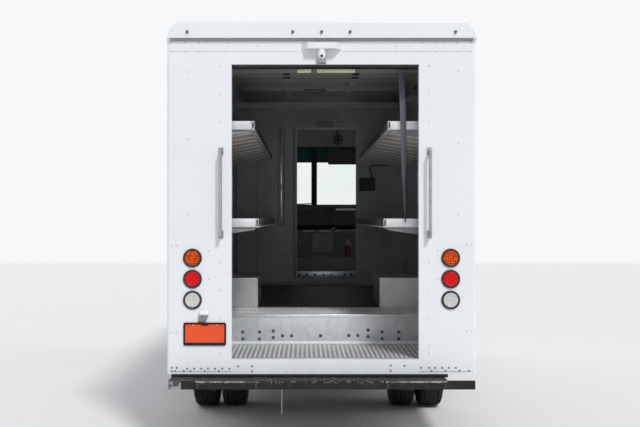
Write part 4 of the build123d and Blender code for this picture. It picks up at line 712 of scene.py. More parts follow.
# sheet folds and screws on the wheel boxes
boxFolds = (
    ((0.546, -1.754, 0.950), (0.552, -1.748, 1.213)),
    ((0.546, -1.754, 1.207), (1.088, -1.748, 1.213)),
    ((0.546, -1.752, 1.209), (0.552, -0.818, 1.213)),
)
folds = [makeBlock("wheelBoxFolds", low, high, 0.0018, 3, side=side) for side in (-1, 1) for low,
         high in boxFolds]
finishPiece(folds, "brightEdge")
boxScrews = [(side * (0.60 + 0.09 * step), -1.7505, 0.975) for side in (-1, 1) for step in range(6)]
finishPiece(spreadCopies(makeRivet("wheelBoxScrews", "rear"), boxScrews), "rivetGreyAndShade", 40)
print("tread and deck edge made")

# shelves: each level as (inner edge x, lip's low z); ribs lie under them, with a folded edge and a tab each, the
# folded edges bright as painted light
shelfPlan = {
    "levels": ((0.512, 2.428), (0.480, 1.680)), "lip": 0.065, "rear": -3.1375, "front": 1.294, "wall": 1.089,
    "slope": math.tan(math.radians(10)), "oval": (0.0105, 0.0345),
    "firstRib": -3.095, "lastRib": 1.255, "ribs": 12, "ribHalf": 0.020, "ribDrop": 0.044,
}
shelfFinishes = {
    "shelfRearEnds": ("brightEdge", "bare_aluminium"),
    "shelfGussets": ("gussetGrey", "bare_aluminium"),
    "shelfLipHollowShades": ("blackTrim", "black_plastic"),
    "shelfRibLitEdges": ("ribAluminium", "bare_aluminium"),
    "shelfLipShadeFaces": ("lipShadeDark", "bare_aluminium"),
    "shelfLipHighlights": ("ribAluminium", "bare_aluminium"),
}
shelfParts = {name: [] for name in shelfFinishes}
ribStep = (shelfPlan["lastRib"] - shelfPlan["firstRib"]) / (shelfPlan["ribs"] - 1)
ribPlaces = [(0, shelfPlan["firstRib"] + ribStep * step, 0) for step in range(shelfPlan["ribs"])]
for lipX, lipLow in shelfPlan["levels"]:
    rear = shelfPlan["rear"]
    wall = shelfPlan["wall"]
    fall = (wall - lipX) * shelfPlan["slope"]
    # gusset below the channel, falling to the wall
    gussetOutline = [(lipX + 0.02, rear + 0.014, lipLow + 0.002), (wall, rear + 0.014, lipLow + 0.002),
                     (wall, rear + 0.014, lipLow - fall), (lipX + 0.03, rear + 0.014, lipLow - 0.022)]
    # open end of the rolled lip: a bright oval rim round a black oval sheet, painted shade in the hollow
    ovalX, ovalZ = shelfPlan["oval"]
    oval = [(lipX + 0.010 + ovalX * math.cos(angle), rear + 0.002,
             lipLow + shelfPlan["lip"] / 2 + ovalZ * math.sin(angle))
            for angle in (math.tau * step / 32 for step in range(32))]
    edgeY = -shelfPlan["ribHalf"] - 0.0005
    lowAtWall = lipLow + 0.051 - fall - shelfPlan["ribDrop"]
    edgeOutline = [(lipX + 0.026, edgeY, lipLow + 0.003), (wall, edgeY, lowAtWall - 0.001),
                   (wall, edgeY, lowAtWall + 0.009), (lipX + 0.026, edgeY, lipLow + 0.013)]
    for side in (-1, 1):
        shelfParts["shelfRearEnds"] += [
            makeBlock("shelfRearEnds", (lipX + 0.023, rear, lipLow),
                      (wall, rear + 0.026, lipLow + shelfPlan["lip"]),
                      0.004, 3, "front", [(insetFaces, 0.0025), (pushFaces, (0, -0.022, 0))], side),
            makeBorder("shelfLipEnds", oval, 0.0036, (0, -0.008, 0), 0.0008, side=side),
        ]
        shelfParts["shelfGussets"].append(
            makeSheet("shelfGussets", gussetOutline, (0, 0.0025, 0), 0.0008, side=side))
        shelfParts["shelfLipHollowShades"].append(
            makeSheet("shelfLipHollowShades", oval, (0, -0.0022, 0), 0.0005, side=side))
        # a bright sheet on each rib's rear face, painted light
        edge = makeSheet("shelfRibLitEdges", edgeOutline, (0, -0.003, 0), 0.0008, side=side)
        tab = makeBlock("shelfRibTabs", (lipX + 0.006, -0.019, lipLow - 0.005),
                        (lipX + 0.030, 0.019, lipLow + 0.001),
                        0.001, side=side)
        shelfParts["shelfRibLitEdges"] += [spreadCopies(edge, ribPlaces), spreadCopies(tab, ribPlaces)]
        # a dark sheet on each lip's inner face, painted shade
        shelfParts["shelfLipShadeFaces"].append(
            makeBlock("shelfLipShadeFaces", (lipX - 0.0008, rear + 0.030, lipLow + 0.006),
                      (lipX + 0.002, shelfPlan["front"], lipLow + 0.064), 0.0004, side=side))
        # a bright bead on each lip's lower edge: bare aluminium, made brighter as a painted highlight
        shelfParts["shelfLipHighlights"].append(
            makeBlock("shelfLipHighlights", (lipX - 0.0015, rear + 0.028, lipLow - 0.001),
                      (lipX + 0.003, shelfPlan["front"], lipLow + 0.006), 0.001, side=side))
for name, (finish, slotName) in shelfFinishes.items():
    finishPiece(shelfParts[name], finish)

# roll-up door: hinges and ribs on its slats, end brackets, a lock box and the two reflective strips
slatPlan = {"bottom": 2.864, "joints": (-2.818, -2.520, -2.222, -1.924, -1.626, -1.328),
            "rows": (-0.268, 0.270)}
slatZ = slatPlan["bottom"]
hinge = makeBlock("slatHinges", (-0.026, -0.040, slatZ - 0.004), (0.026, 0.040, slatZ), 0, 2, "down",
                  [(insetFaces, 0.006), (pushFaces, (0, 0, -0.002))])
barrel = makeRound("slatHingeBarrel", (0, 0, slatZ - 0.007), 0.005, 0.052, "right", 10, width=0.001)
hinge = joinPieces([hinge, barrel])
bracket = hinge.copy()
bracket.name = "slatBrackets"
bracket.data = hinge.data.copy()
bracket.data.transform(Matrix.Scale(0.8, 4, (0, 1, 0)))
scene.collection.objects.link(bracket)
hingePlaces = [(x, y, 0) for x in slatPlan["rows"] for y in slatPlan["joints"]]
finishPiece(spreadCopies(hinge, hingePlaces), "slatGrey")
bracketPlaces = [(x, y, 0) for x in slatPlan["rows"] for y in (-3.075, -2.865)]
finishPiece(spreadCopies(bracket, bracketPlaces), "blackTrim")
# thin sheets under the slats: painted shade darkens the deeper slats, and one slat is lighter and bluish
for name, firstY, lastY, finish in (
    ("slatShadeSheetDim", -2.814, -2.226, "slatShadeDim"),
    ("slatSheetBlue", -2.218, -1.928, "slatBlue"),
    ("slatShadeSheetDark", -1.920, -1.040, "slatShadeDark"),
):
    sheet = makeBlock(name, (-0.662, firstY, slatZ - 0.0008), (0.717, lastY, slatZ + 0.001), 0.0003)
    finishPiece(sheet, finish)
slatRib = makeBlock("slatRibs", (-0.655, -0.004, slatZ - 0.0028), (0.710, 0.004, slatZ + 0.001), 0.0012)
ribRows = [(0, joint + 0.0496 * step, 0) for joint in (-3.116,) + slatPlan["joints"] for step in range(1, 6)]
finishPiece(spreadCopies(slatRib, ribRows), "slatGrey")
lockBox = makeBlock("doorLock", (-0.130, -2.115, slatZ - 0.028), (0.058, -2.005, slatZ), 0.004, 3, "down",
                    [(insetFaces, 0.014, -0.006)])
finishPiece(lockBox, "dustySteel")
strips = [makeBlock("slatStrips", (startX, -3.1128, 2.8665), (endX, -3.1105, 2.8935), 0.0006)
          for startX, endX in ((-0.182, -0.076), (-0.031, 0.262))]
finishPiece(strips, "stripYellow")
gasketLine = [(-3.372, 2.8915), (-3.372, 2.878), (-3.366, 2.872), (-3.358, 2.878), (-3.330, 2.884),
              (-3.330, 2.8915)]
gasket = makeSheet("openingGasket", [(-0.667, y, z) for y, z in gasketLine], (1.389, 0, 0), 0.001, 2, 40)
finishPiece(gasket, "rubberBlack", 50)
print("shelves and roll-up door made")

# bulkhead: header panels, box and hardware over the doorway, threshold plate, ribbed liner, junction box
headers = [makeBlock("headerPanels", (-0.492, 1.4405, low), (0.543, 1.446, high), 0.0015,
                     work=[(insetFaces, 0.012, -0.0015)]) for low, high in ((2.935, 3.028), (3.036, 3.120))]
finishPiece(headers, "linerBright")
doorBox = makeBlock("doorwayBox", (0.008, 1.368, 2.822), (0.210, 1.4005, 2.893), 0.004, 3,
                    work=[(insetFaces, 0.010, -0.004)])
finishPiece(doorBox, "linerPale")
doorBracket = makeBlock("doorwayHardware", (0.214, 1.372, 2.815), (0.341, 1.4005, 2.888), 0.003,
                        work=[(insetFaces, 0.016), (pushFaces, (0, 0.012, 0))])
latchBox = makeBlock("doorwayLatch", (-0.210, 1.376, 2.818), (-0.006, 1.4005, 2.886), 0.003,
                     work=[(insetFaces, 0.012, -0.005)])
finishPiece([doorBracket, latchBox], "linerGrey")
threshold = makeBlock("thresholdPlate", (-0.216, 1.4438, 1.034), (0.486, 1.446, 1.113), 0.0006)
finishPiece(threshold, "dullBlue")
bolt = makeRound("thresholdBolts", (0, 0, 0), 0.014, 0.0022, "rear", 12, 0.0105,
                 [(insetFaces, 0.003, 0.0005)])
boltPlaces = [(x, 1.4428, 1.076) for x in (-0.189, -0.099, -0.004, 0.098, 0.193, 0.348, 0.426)]
finishPiece(spreadCopies(bolt, boltPlaces), "blackTrim", 50)

linerPlan = {"left": 0.505, "right": 1.086, "low": 0.955, "high": 1.620, "pitch": 0.036, "face": 1.4455}
linerOutline = []
for step in range(int((linerPlan["right"] - linerPlan["left"]) / linerPlan["pitch"])):
    x = linerPlan["left"] + step * linerPlan["pitch"]
    for shift, depth in ((0.0, 0.0015), (0.012, 0.0015), (0.016, 0.0055), (0.032, 0.0055)):
        linerOutline.append((x + shift, linerPlan["face"] - depth, linerPlan["low"]))
linerOutline.append((linerOutline[-1][0] + 0.004, 1.4458, linerPlan["low"]))
linerOutline.append((linerPlan["left"], 1.4458, linerPlan["low"]))
ribbedLiner = makeSheet("ribbedLiner", linerOutline, (0, 0, linerPlan["high"] - linerPlan["low"]))
finishPiece(ribbedLiner, "linerGrey", 20)

junction = makeBlock("junctionBox", (0.522, 1.388, 2.073), (0.708, 1.4455, 2.226), 0.004, 3,
                     work=[(insetFaces, 0.012, 0.004), (insetFaces, 0.004, -0.002)])
finishPiece(junction, "boxGrey")
conduitPlaces = [(0.670, 1.418, 2.226), (0.672, 1.418, 2.290), (0.640, 1.424, 2.335), (0.660, 1.430, 2.372),
                 (0.760, 1.436, 2.380), (1.000, 1.436, 2.376), (1.070, 1.436, 2.376)]
finishPiece(makeMeshTube("conduit", conduitPlaces, 0.006, 3), "rubberBlack", 60)

# folded stiles, channel and pull on the sliding bulkhead door
stiles = [makeBlock("doorStiles", (startX, 1.4085, 1.030), (endX, 1.4115, 2.810), 0.001)
          for startX, endX in ((-0.958, -0.930), (-0.700, -0.690), (-0.264, -0.236))]
finishPiece(stiles, "linerPale", body="bulkhead_door")
channelOutline = [(-0.446, 1.4105, 1.664), (-0.368, 1.4105, 1.664), (-0.368, 1.4105, 2.806),
                  (-0.446, 1.4105, 2.806)]
channelEdge = makeBorder("channelEdge", channelOutline, 0.006, (0, -0.002, 0))
finishPiece(channelEdge, "blackTrim", body="bulkhead_door")
pullStrip = makeBlock("pullStrip", (-0.419, 1.4090, 1.690), (-0.395, 1.4115, 2.790), 0.001)
finishPiece(pullStrip, "polishedSteel", body="bulkhead_door")
grip = makeRound("doorGrip", (-0.403, 1.396, 2.108), 0.011, 0.066, "up", 16, width=0.003, steps=3)
gripFoot = makeBlock("gripFeet", (-0.008, -0.006, -0.006), (0.008, 0.014, 0.006), 0.002)
gripFeet = spreadCopies(gripFoot, [(-0.403, 1.397, 2.092), (-0.403, 1.397, 2.146)])
finishPiece([grip, gripFeet], "polishedSteel", 40, "bulkhead_door")
print("bulkhead made")

# cab things seen through the doorway: a bottle with its valve, panels, clips and a hand lever
bottlePlan = {"x": 0.412, "y": 2.065, "base": 1.290, "radius": 0.042}
x = bottlePlan["x"]
y = bottlePlan["y"]
base = bottlePlan["base"]
bottleWork = []
for inset, rise in ((0.006, 0.010), (0.012, 0.008), (0.010, 0.003)):
    bottleWork += [(insetFaces, inset), (moveFaces, (0, 0, rise))]
bottleWork.append((pushFaces, (0, 0, 0.012)))
bottle = makeRound("bottle", (x, y, base + 0.067), bottlePlan["radius"], 0.134, "up", 28, None, bottleWork,
                   0.002)
finishPiece(bottle, "bottleRed", 40)
valve = makeRound("bottleValve", (x, y, base + 0.172), 0.013, 0.020, "up", 16, 0.010,
                  [(insetFaces, 0.003), (pushFaces, (0, 0, 0.008))])
lever = makeBlock("bottleLever", (x - 0.006, y - 0.052, base + 0.186), (x + 0.006, y + 0.012, base + 0.191),
                  0.002)
collar = makeRing("bottleCollar", (x, y, base + 0.120), 0.043, 0.0025, sides=28)
finishPiece([valve, lever, collar], "tubeSteel", 40)
for name, low, high, width, inset, depth, finish, slotName in (
    ("ledgePanel", (-0.300, 1.9965, 1.020), (0.500, 2.0005, 1.262), 0.001, 0.014, -0.0015, "ledgeBrown",
     "grey_liner"),
    ("coverPanel", (-0.034, 2.3255, 1.310), (0.234, 2.331, 1.556), 0.002, 0.016, -0.002, "panelGrey",
     "grey_liner"),
    ("cabLining", (-1.060, 2.950, 2.699), (1.060, 2.962, 2.985), 0.003, 0.020, -0.004, "linerBrown",
     "black_plastic"),
):
    finishPiece(makeBlock(name, low, high, width, work=[(insetFaces, inset, depth)]), finish)
clips = [makeBlock("coverClips", (startX, 2.322, 1.572), (endX, 2.352, 1.590), 0.003, 2, "up",
                   [(insetFaces, 0.005, -0.002)])
         for startX, endX in ((-0.150, 0.004), (0.056, 0.210), (0.250, 0.330))]
finishPiece(clips, "tubeSteel")
handLever = [
    makeRound("handLever", (0.253, 2.42, 1.604), 0.045, 0.044, "up", 20, 0.022, width=0.004),
    makeRound("handLeverRod", (0.253, 2.41, 1.672), 0.007, 0.100, (8, 0, 0), 12, width=0.001),
    makeRound("handLeverKnob", (0.253, 2.402, 1.732), 0.016, 0.034, (8, 0, 0), 16, 0.020, width=0.008,
              steps=4),
]
finishPiece(handLever, "grainPlastic", 40)

# rail on the dash, sun visor, fan, post cover and the tint along the windshield's top
dashRail = makeRound("dashRail", (0.417, 2.944, 1.860), 0.012, 0.254, "right", 16, width=0.004, steps=3)
railFoot = makeBlock("dashRailFeet", (-0.012, 2.944, 1.852), (0.012, 2.962, 1.868), 0.002)
railFeet = spreadCopies(railFoot, [(0.300, 0, 0), (0.534, 0, 0)])
finishPiece([dashRail, railFeet], "brightEdge", 40)
visor = makeBlock("sunVisor", (0.185, 3.000, 2.465), (0.560, 3.018, 2.676), 0.008, 4)
visorArm = makeRound("sunVisorArm", (0.372, 3.016, 2.684), 0.006, 0.300, "right", 12, width=0.001)
finishPiece([visor, visorArm], "grainPlastic", 40)
fanPlace = (0.310, 2.900, 2.790)
fanBlade = makeBlock("cabFanBlades", (0.018, -0.003, -0.012), (0.060, 0.001, 0.012), 0.002)
bladeTurns = [Matrix.Translation(fanPlace) @ Matrix.Rotation(math.radians(72 * n), 4, "Y") for n in range(5)]
fan = [
    makeRing("cabFan", fanPlace, 0.062, 0.006, "rear"),
    makeRound("cabFanHub", (0.310, 2.905, 2.790), 0.028, 0.050, "rear", 20, 0.022, width=0.004),
    spreadCopies(fanBlade, bladeTurns),
    makeRound("cabFanStem", (0.310, 2.925, 2.862), 0.008, 0.150, "up", 12, width=0.001),
]
finishPiece(fan, "grainPlastic", 40)


def glassY(z):
    # the outer plane of the windshield's slope
    return 3.215 + (z - 1.880) * (3.100 - 3.215) / (2.760 - 1.880)


def makeSlopePanel(name, lowX, highX, lowZ, highZ, behind, thickness, width=0):
    # a thin panel behind the windshield's slope
    corners = [(x, glassY(z) - behind, z) for x,
               z in ((lowX, lowZ), (highX, lowZ), (highX, highZ), (lowX, highZ))]
    return makeSheet(name, corners, (0, -thickness, 0), width)


postCover = makeSlopePanel("postCover", -0.038, 0.038, 1.905, 2.735, 0.058, 0.010, 0.003)
finishPiece(postCover, "blackTrim")
bands = [makeSlopePanel("tintBands", lowX, highX, 2.495, 2.708, 0.0375, 0.0008)
         for lowX, highX in ((-1.008, -0.034), (0.034, 1.008))]
finishPiece(bands, "tintTeal", 0)
print("cab things made")

# pull strap: a woven ribbon that leans and turns a little as it hangs, with a sewn hem at each end
strapPlan = {"width": 0.045, "length": 1.150, "thickness": 0.0022, "top": 2.8637, "rows": 92, "columns": 6}


def strapPath(down):
    # the ribbon's middle and its turn in degrees, at a share of the way down
    x = 0.6140 + 0.0320 * down + 0.0015 * math.sin(5.0 * down)
    y = -3.1680 - 0.0030 * math.sin(6.0 * down)
    turn = 4 + 74 * max(0.0, (down - 0.30) / 0.70) ** 1.2
    return Vector((x, y, strapPlan["top"] - down * strapPlan["length"])), turn


pickNone()
bpy.ops.mesh.primitive_grid_add(
    x_subdivisions=strapPlan["columns"], y_subdivisions=strapPlan["rows"], size=1, calc_uvs=True
)
strap = nameNew("pullWebbing")
for vertex in strap.data.vertices:
    across = vertex.co.x
    middle, turn = strapPath(0.5 - vertex.co.y)
    turn = math.radians(turn)
    reach = across * strapPlan["width"]
    bow = 0.0012 * math.sin(math.pi * (across + 0.5))
    vertex.co = middle + Vector((reach * math.cos(turn), reach * math.sin(turn) - bow, 0))
applyStep(strap, "SOLIDIFY", thickness=strapPlan["thickness"], offset=0)
roundEdges(strap, 0.0006, 2, 60)
finishPiece(strap, "webbing", 50)
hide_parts("pull_strap")
hems = []
for below, thickness in ((strapPlan["length"] - 0.016, 0.0042), (0.022, 0.0050)):
    hem = makeBlock("strapHems", (-0.0223, -thickness / 2, -0.014), (0.0223, thickness / 2, 0.014), 0.0012, 3)
    hems.append(placePiece(hem, *strapPath(below / strapPlan["length"]), "Z"))
strapHems = finishPiece(hems, "webbing", 40)
print("strap made")

# seat: two crowned vinyl pads, blown up by cloth pressure, with piping
seatPlan = {
    "pad": ((-0.842, 1.772, 1.328), (-0.358, 2.137, 1.418)),
    "back": ((-0.832, 1.655, 1.340), (-0.368, 1.742, 1.930)),
    "voxel": 0.0065, "pressure": 4.0, "padCrown": 0.0121, "backCrown": 0.011, "piping": 0.0045,
}


def makeCushion(name, low, high, cap):
    pad = makeBlock(name, low, high, 0.034, 5)
    applyStep(pad, "REMESH", mode="VOXEL", voxel_size=seatPlan["voxel"])
    begin = [vertex.co.copy() for vertex in pad.data.vertices]
    cloth = pad.modifiers.new("Cloth", "CLOTH")
    cloth.settings.use_pressure = True
    cloth.settings.uniform_pressure_force = seatPlan["pressure"]
    cloth.settings.effector_weights.gravity = 0
    cloth.settings.quality = 5
    cloth.collision_settings.use_collision = False
    for number in range(1, 21):
        scene.frame_set(number)
    swollen = pad.evaluated_get(bpy.context.evaluated_depsgraph_get()).to_mesh()
    ends = [vertex.co.copy() for vertex in swollen.vertices]
    pad.modifiers.remove(cloth)
    scene.frame_set(1)
    for vertex, first, last in zip(pad.data.vertices, begin, ends):
        step = last - first
        if step.length > cap:
            step *= cap / step.length
        vertex.co = first + step
    applyStep(pad, "SMOOTH", iterations=4, factor=0.5)
    applyStep(pad, "SUBSURF", levels=1, render_levels=1)
    finishPiece(pad, "seatVinyl", 0)
    return pad


def makePiping(low, high, fixed, axis):
    # a closed bead that follows the pad's outline, 2 mm inside it
    corners = []
    for step in range(48):
        angle = 2 * math.pi * step / 48
        reach = [math.copysign(abs(part) ** 0.35, part) for part in (math.cos(angle), math.sin(angle))]
        a, b = [(first + last) / 2 + share * ((last - first) / 2 - 0.002)
                for first, last, share in zip(low, high, reach)]
        corners.append((a, b, fixed) if axis == "Z" else (a, fixed, b))
    return makeMeshTube("seatPiping", corners, seatPlan["piping"], 2, True, 3)


seatPad = makeCushion("seatPad", *seatPlan["pad"], seatPlan["padCrown"])
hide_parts("seat_cushions")
seatBack = makeCushion("seatBack", *seatPlan["back"], seatPlan["backCrown"])
padLow, padHigh = seatPlan["pad"]
backLow, backHigh = seatPlan["back"]
piping = [makePiping(padLow[:2], padHigh[:2], padHigh[2] - 0.018, "Z"),
          makePiping(backLow[::2], backHigh[::2], backHigh[1] - 0.018, "Y")]
finishPiece(piping, "seatVinyl", 60)
print("seat made")

# tyres: a turned carcass with four grooves and shoulder lugs, one mesh for each wheel
tyrePlan = {"radius": 0.405, "steps": 72, "grooveDepth": 0.009, "lugDepth": 0.007, "lugFrom": 0.388}
wheelAxle = {"front": (2.715, 0.405), "rear": (-1.285, 0.405)}


def makeTyre(name, middleX, axle):
    crown = tyrePlan["radius"]
    deep = crown - tyrePlan["grooveDepth"]
    profile = [
        (0.085, 0.252), (0.086, 0.262), (0.092, 0.2655), (0.0955, 0.2665), (0.0955, 0.2695), (0.0965, 0.2715),
        (0.1045, 0.289), (0.1066, 0.2905), (0.1073, 0.2935), (0.1070, 0.296), (0.1105, 0.315),
        (0.1123, 0.3165),
        (0.1126, 0.3215), (0.1113, 0.3235), (0.1112, 0.330), (0.1102, 0.346), (0.1112, 0.3475),
        (0.1108, 0.3515),
        (0.1092, 0.3535), (0.1045, 0.376), (0.0985, 0.3885), (0.086, 0.3990), (0.066, 0.4020),
        (0.062, 0.4021),
        (0.060, deep), (0.050, deep), (0.048, 0.4032), (0.026, 0.4042), (0.024, deep + 0.001),
        (0.014, deep + 0.001), (0.012, 0.4048), (0.0, crown),
    ]
    whole = profile + [(-x, r) for x, r in reversed(profile[:-1])] + [(-0.080, 0.2505), (0.080, 0.2505)]
    centre = Vector((middleX, *axle))
    tyre = startOutline(name, [centre + Vector((x, 0, r)) for x, r in whole])
    pickOnly(tyre)
    bpy.ops.object.mode_set(mode="EDIT")
    bpy.ops.mesh.select_all(action="SELECT")
    bpy.ops.mesh.delete(type="ONLY_FACE")
    bpy.ops.mesh.select_all(action="SELECT")
    bpy.ops.mesh.spin(steps=tyrePlan["steps"], angle=2 * math.pi, center=centre, axis=(1, 0, 0))
    bpy.ops.mesh.select_all(action="SELECT")
    bpy.ops.mesh.remove_doubles(threshold=0.0001)
    bpy.ops.mesh.normals_make_consistent(inside=False)
    leaveEdit()

    def onLug(middle, normal):
        # every second step of the shoulder is pressed in, and the two shoulders are out of step
        away = middle - centre
        if math.hypot(away.y, away.z) < tyrePlan["lugFrom"] or abs(away.x) < 0.049:
            return False
        halfStep = 0.5 / tyrePlan["steps"] if away.x > 0 else 0.0
        turn = (math.atan2(away.z, away.y) / (2 * math.pi) + 1.0 + halfStep) % 1.0
        return int(turn * tyrePlan["steps"] + 0.25) % 2 == 0

    pickFaces(tyre, onLug)
    insetFaces(0.0012)
    bpy.ops.mesh.extrude_region_shrink_fatten(TRANSFORM_OT_shrink_fatten={"value": -tyrePlan["lugDepth"]})
    leaveEdit()
    return tyre


for side, sideName in bothSides:
    lowName = sideName.lower()
    frontTyre = makeTyre("roadTyreFront" + sideName, side * 0.950, wheelAxle["front"])
    finishPiece(frontTyre, "tyreRubber", 35, "front_wheel_" + lowName)
    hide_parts("front_tyre_" + lowName)
    pair = [makeTyre("roadTyresRear" + sideName, side * x, wheelAxle["rear"]) for x in (1.030, 0.770)]
    rearPair = finishPiece(pair, "tyreRubber", 35, "rear_wheels_" + lowName)
    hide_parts("rear_tyres_" + lowName)

# wheel nuts, a valve stem and a rib round each hub
nutPlan = {"circle": 0.112, "count": 8, "radius": 0.0155, "height": 0.020, "stud": 0.0075, "hubRib": 0.0900}
for axleName, discX, bodyStart in (("front", 1.002, "front_wheel_"), ("rear", 0.914, "rear_wheels_")):
    axleY, axleZ = wheelAxle[axleName]
    nutTurns = [
        Matrix.Translation((0, axleY, axleZ)) @ Matrix.Rotation(2 * math.pi * n / nutPlan["count"] + 0.39, 4,
                                                                "X")
        for n in range(nutPlan["count"])
    ]
    for side, sideName in bothSides:
        nut = makeRound("wheelNuts" + axleName.title() + sideName,
                        (side * (discX + 0.010), 0, nutPlan["circle"]),
                        nutPlan["radius"], nutPlan["height"], "right", 6, width=0.0022)
        stud = makeRound("wheelStuds", (side * (discX + 0.017), 0, nutPlan["circle"]), nutPlan["stud"], 0.030,
                         "right", 12, width=0.0015)
        nuts = spreadCopies(joinPieces([nut, stud]), nutTurns)
        valve = makeRound("valveStem", (side * (discX + 0.020), axleY, axleZ + 0.205), 0.0045, 0.050, "right",
                          10,
                          width=0.001)
        hubRib = makeRing("hubRib", (side * (discX + 0.004), axleY, axleZ), nutPlan["hubRib"], 0.006, "right",
                          40)
        finishPiece([nuts, valve, hubRib], "tubeSteel", 35, bodyStart + sideName.lower())
print("wheels made")

# body sides: rails as (rear y, front y, low z, high z, proud), lap seams with rivets, arch trims, marker
# lamps
sidePlan = {
    "face": 1.150, "seams": (-2.70, -2.08, -1.46, -0.84, -0.22, 0.40, 0.80), "rivetStep": 0.095,
    "rails": (
        (-3.300, 2.975, 3.040, 3.056, 0.007), (-3.300, 1.490, 1.170, 1.206, 0.010),
        (-3.300, -1.800, 0.592, 0.640, 0.008), (-0.770, 1.490, 0.592, 0.640, 0.008),
        (2.182, 2.975, 1.170, 1.206, 0.010),
    ),
    "arch": {"rear": -1.765, "front": -0.805, "top": 0.900, "foot": 0.645, "corner": 0.140, "width": 0.028},
    "markers": (("Rear", -3.10, "redLens"), ("Front", 0.95, "amberLens")),
}
inFace = sidePlan["face"] - 0.001
outFace = sidePlan["face"]


def archLine(grow):
    # a line over the wheel from foot to foot, grown outwards from the arch's inner edge
    arch = sidePlan["arch"]
    radius = arch["corner"] + grow
    line = [(arch["rear"] - grow, arch["foot"])]
    for centreY, first in ((arch["rear"] + arch["corner"], 180), (arch["front"] - arch["corner"], 90)):
        for step in range(9):
            angle = math.radians(first - 90 * step / 8)
            line.append((centreY + radius * math.cos(angle),
                         arch["top"] - arch["corner"] + radius * math.sin(angle)))
    return line + [(arch["front"] + grow, arch["foot"])]


def overArch(y):
    return -1.80 < y < -0.77


for side, sideName in bothSides:
    faceWay = sideName.lower()
    rails = [
        makeBlock("sideRails" + sideName, (inFace, rearY, lowZ), (outFace + proud, frontY, highZ), 0.0025, 3,
                  faceWay,
                  [(insetFaces, 0.005), (moveFaces, (side * -0.002, 0, 0))], side)
        for rearY, frontY, lowZ, highZ, proud in sidePlan["rails"]
    ]
    finishPiece(rails, "brightEdge")
    laps = []
    rivets = []
    for y in sidePlan["seams"]:
        for lowZ, highZ in ((0.945 if overArch(y) else 0.642, 1.168), (1.208, 3.038)):
            laps.append(makeBlock("sideSeams" + sideName, (inFace, y - 0.018, lowZ),
                                  (outFace + 0.0014, y + 0.018, highZ), 0.0008, side=side))
        low = 0.96 if overArch(y) else 0.68
        for step in range(math.ceil((3.02 - low) / sidePlan["rivetStep"])):
            z = low + sidePlan["rivetStep"] * step
            if abs(z - 1.188) > 0.026:
                rivets.append((side * (outFace + 0.0012), y - 0.009, z))
                rivets.append((side * (outFace + 0.0012), y + 0.009, z + 0.0475))
    finishPiece(laps, "whitePaint")
    for step in range(62):
        y = -3.26 + 0.1 * step
        rivets.append((side * outFace, y, 3.018))
        if y < 1.45 or y > 2.25:
            rivets.append((side * (outFace + 0.0075), y, 1.188))
        if y < -1.85 or -0.72 < y < 1.45:
            rivets.append((side * (outFace + 0.0055), y, 0.616))
    finishPiece(spreadCopies(makeRivet("sideRivets" + sideName, faceWay), rivets), "rivetGreyAndShade",
                40)
    archLoop = [(inFace, y, z) for y, z in archLine(sidePlan["arch"]["width"]) + archLine(0)[::-1]]
    arch = makeSheet("archTrims" + sideName, archLoop, (side * 0.007, 0, 0), 0.002, 2, 50, side=side)
    finishPiece(arch, "rubberBlack", 40)
    for end, y, finish in sidePlan["markers"]:
        lamp = makeBlock("sideMarker" + sideName + end, (outFace, y - 0.050, 1.245),
                         (outFace + 0.012, y + 0.050, 1.285),
                         0.003, 3, faceWay, [(insetFaces, 0.008), (moveFaces, (side * 0.003, 0, 0))], side)
        finishPiece(lamp, finish)
fillerWork = [(insetFaces, 0.010), (pushFaces, (0.010, 0, 0)), (insetFaces, 0.006),
              (pushFaces, (-0.014, 0, 0)),
              (insetFaces, 0.010, 0.002)]
filler = makeRound("fuelFiller", (-1.1565, 0.02, 0.800), 0.062, 0.016, "left", 36, None, fillerWork, 0.0015,
                   2, 40)
finishPiece(filler, "tubeSteel", 40)
print("sides made")

# roof: lap seams across its flat top, with a row of rivets along each
roofPlan = {"top": 3.223, "half": 0.985, "seams": (-2.70, -1.46, -0.22, 1.02, 2.26), "rivetStep": 0.082,
            "proud": 0.0008}
roofTop = roofPlan["top"] + roofPlan["proud"]
roofLaps = [makeBlock("roofSeams", (-roofPlan["half"], y - 0.018, roofPlan["top"] - 0.001),
                      (roofPlan["half"], y + 0.018, roofTop), 0.0006) for y in roofPlan["seams"]]
finishPiece(roofLaps, "whitePaint")
roofRivets = [(roofPlan["rivetStep"] * (step - 11.5), y, roofTop) for y in roofPlan["seams"]
              for step in range(24)]
finishPiece(spreadCopies(makeRivet("roofRivets", "up"), roofRivets), "rivetGreyAndShade", 40)

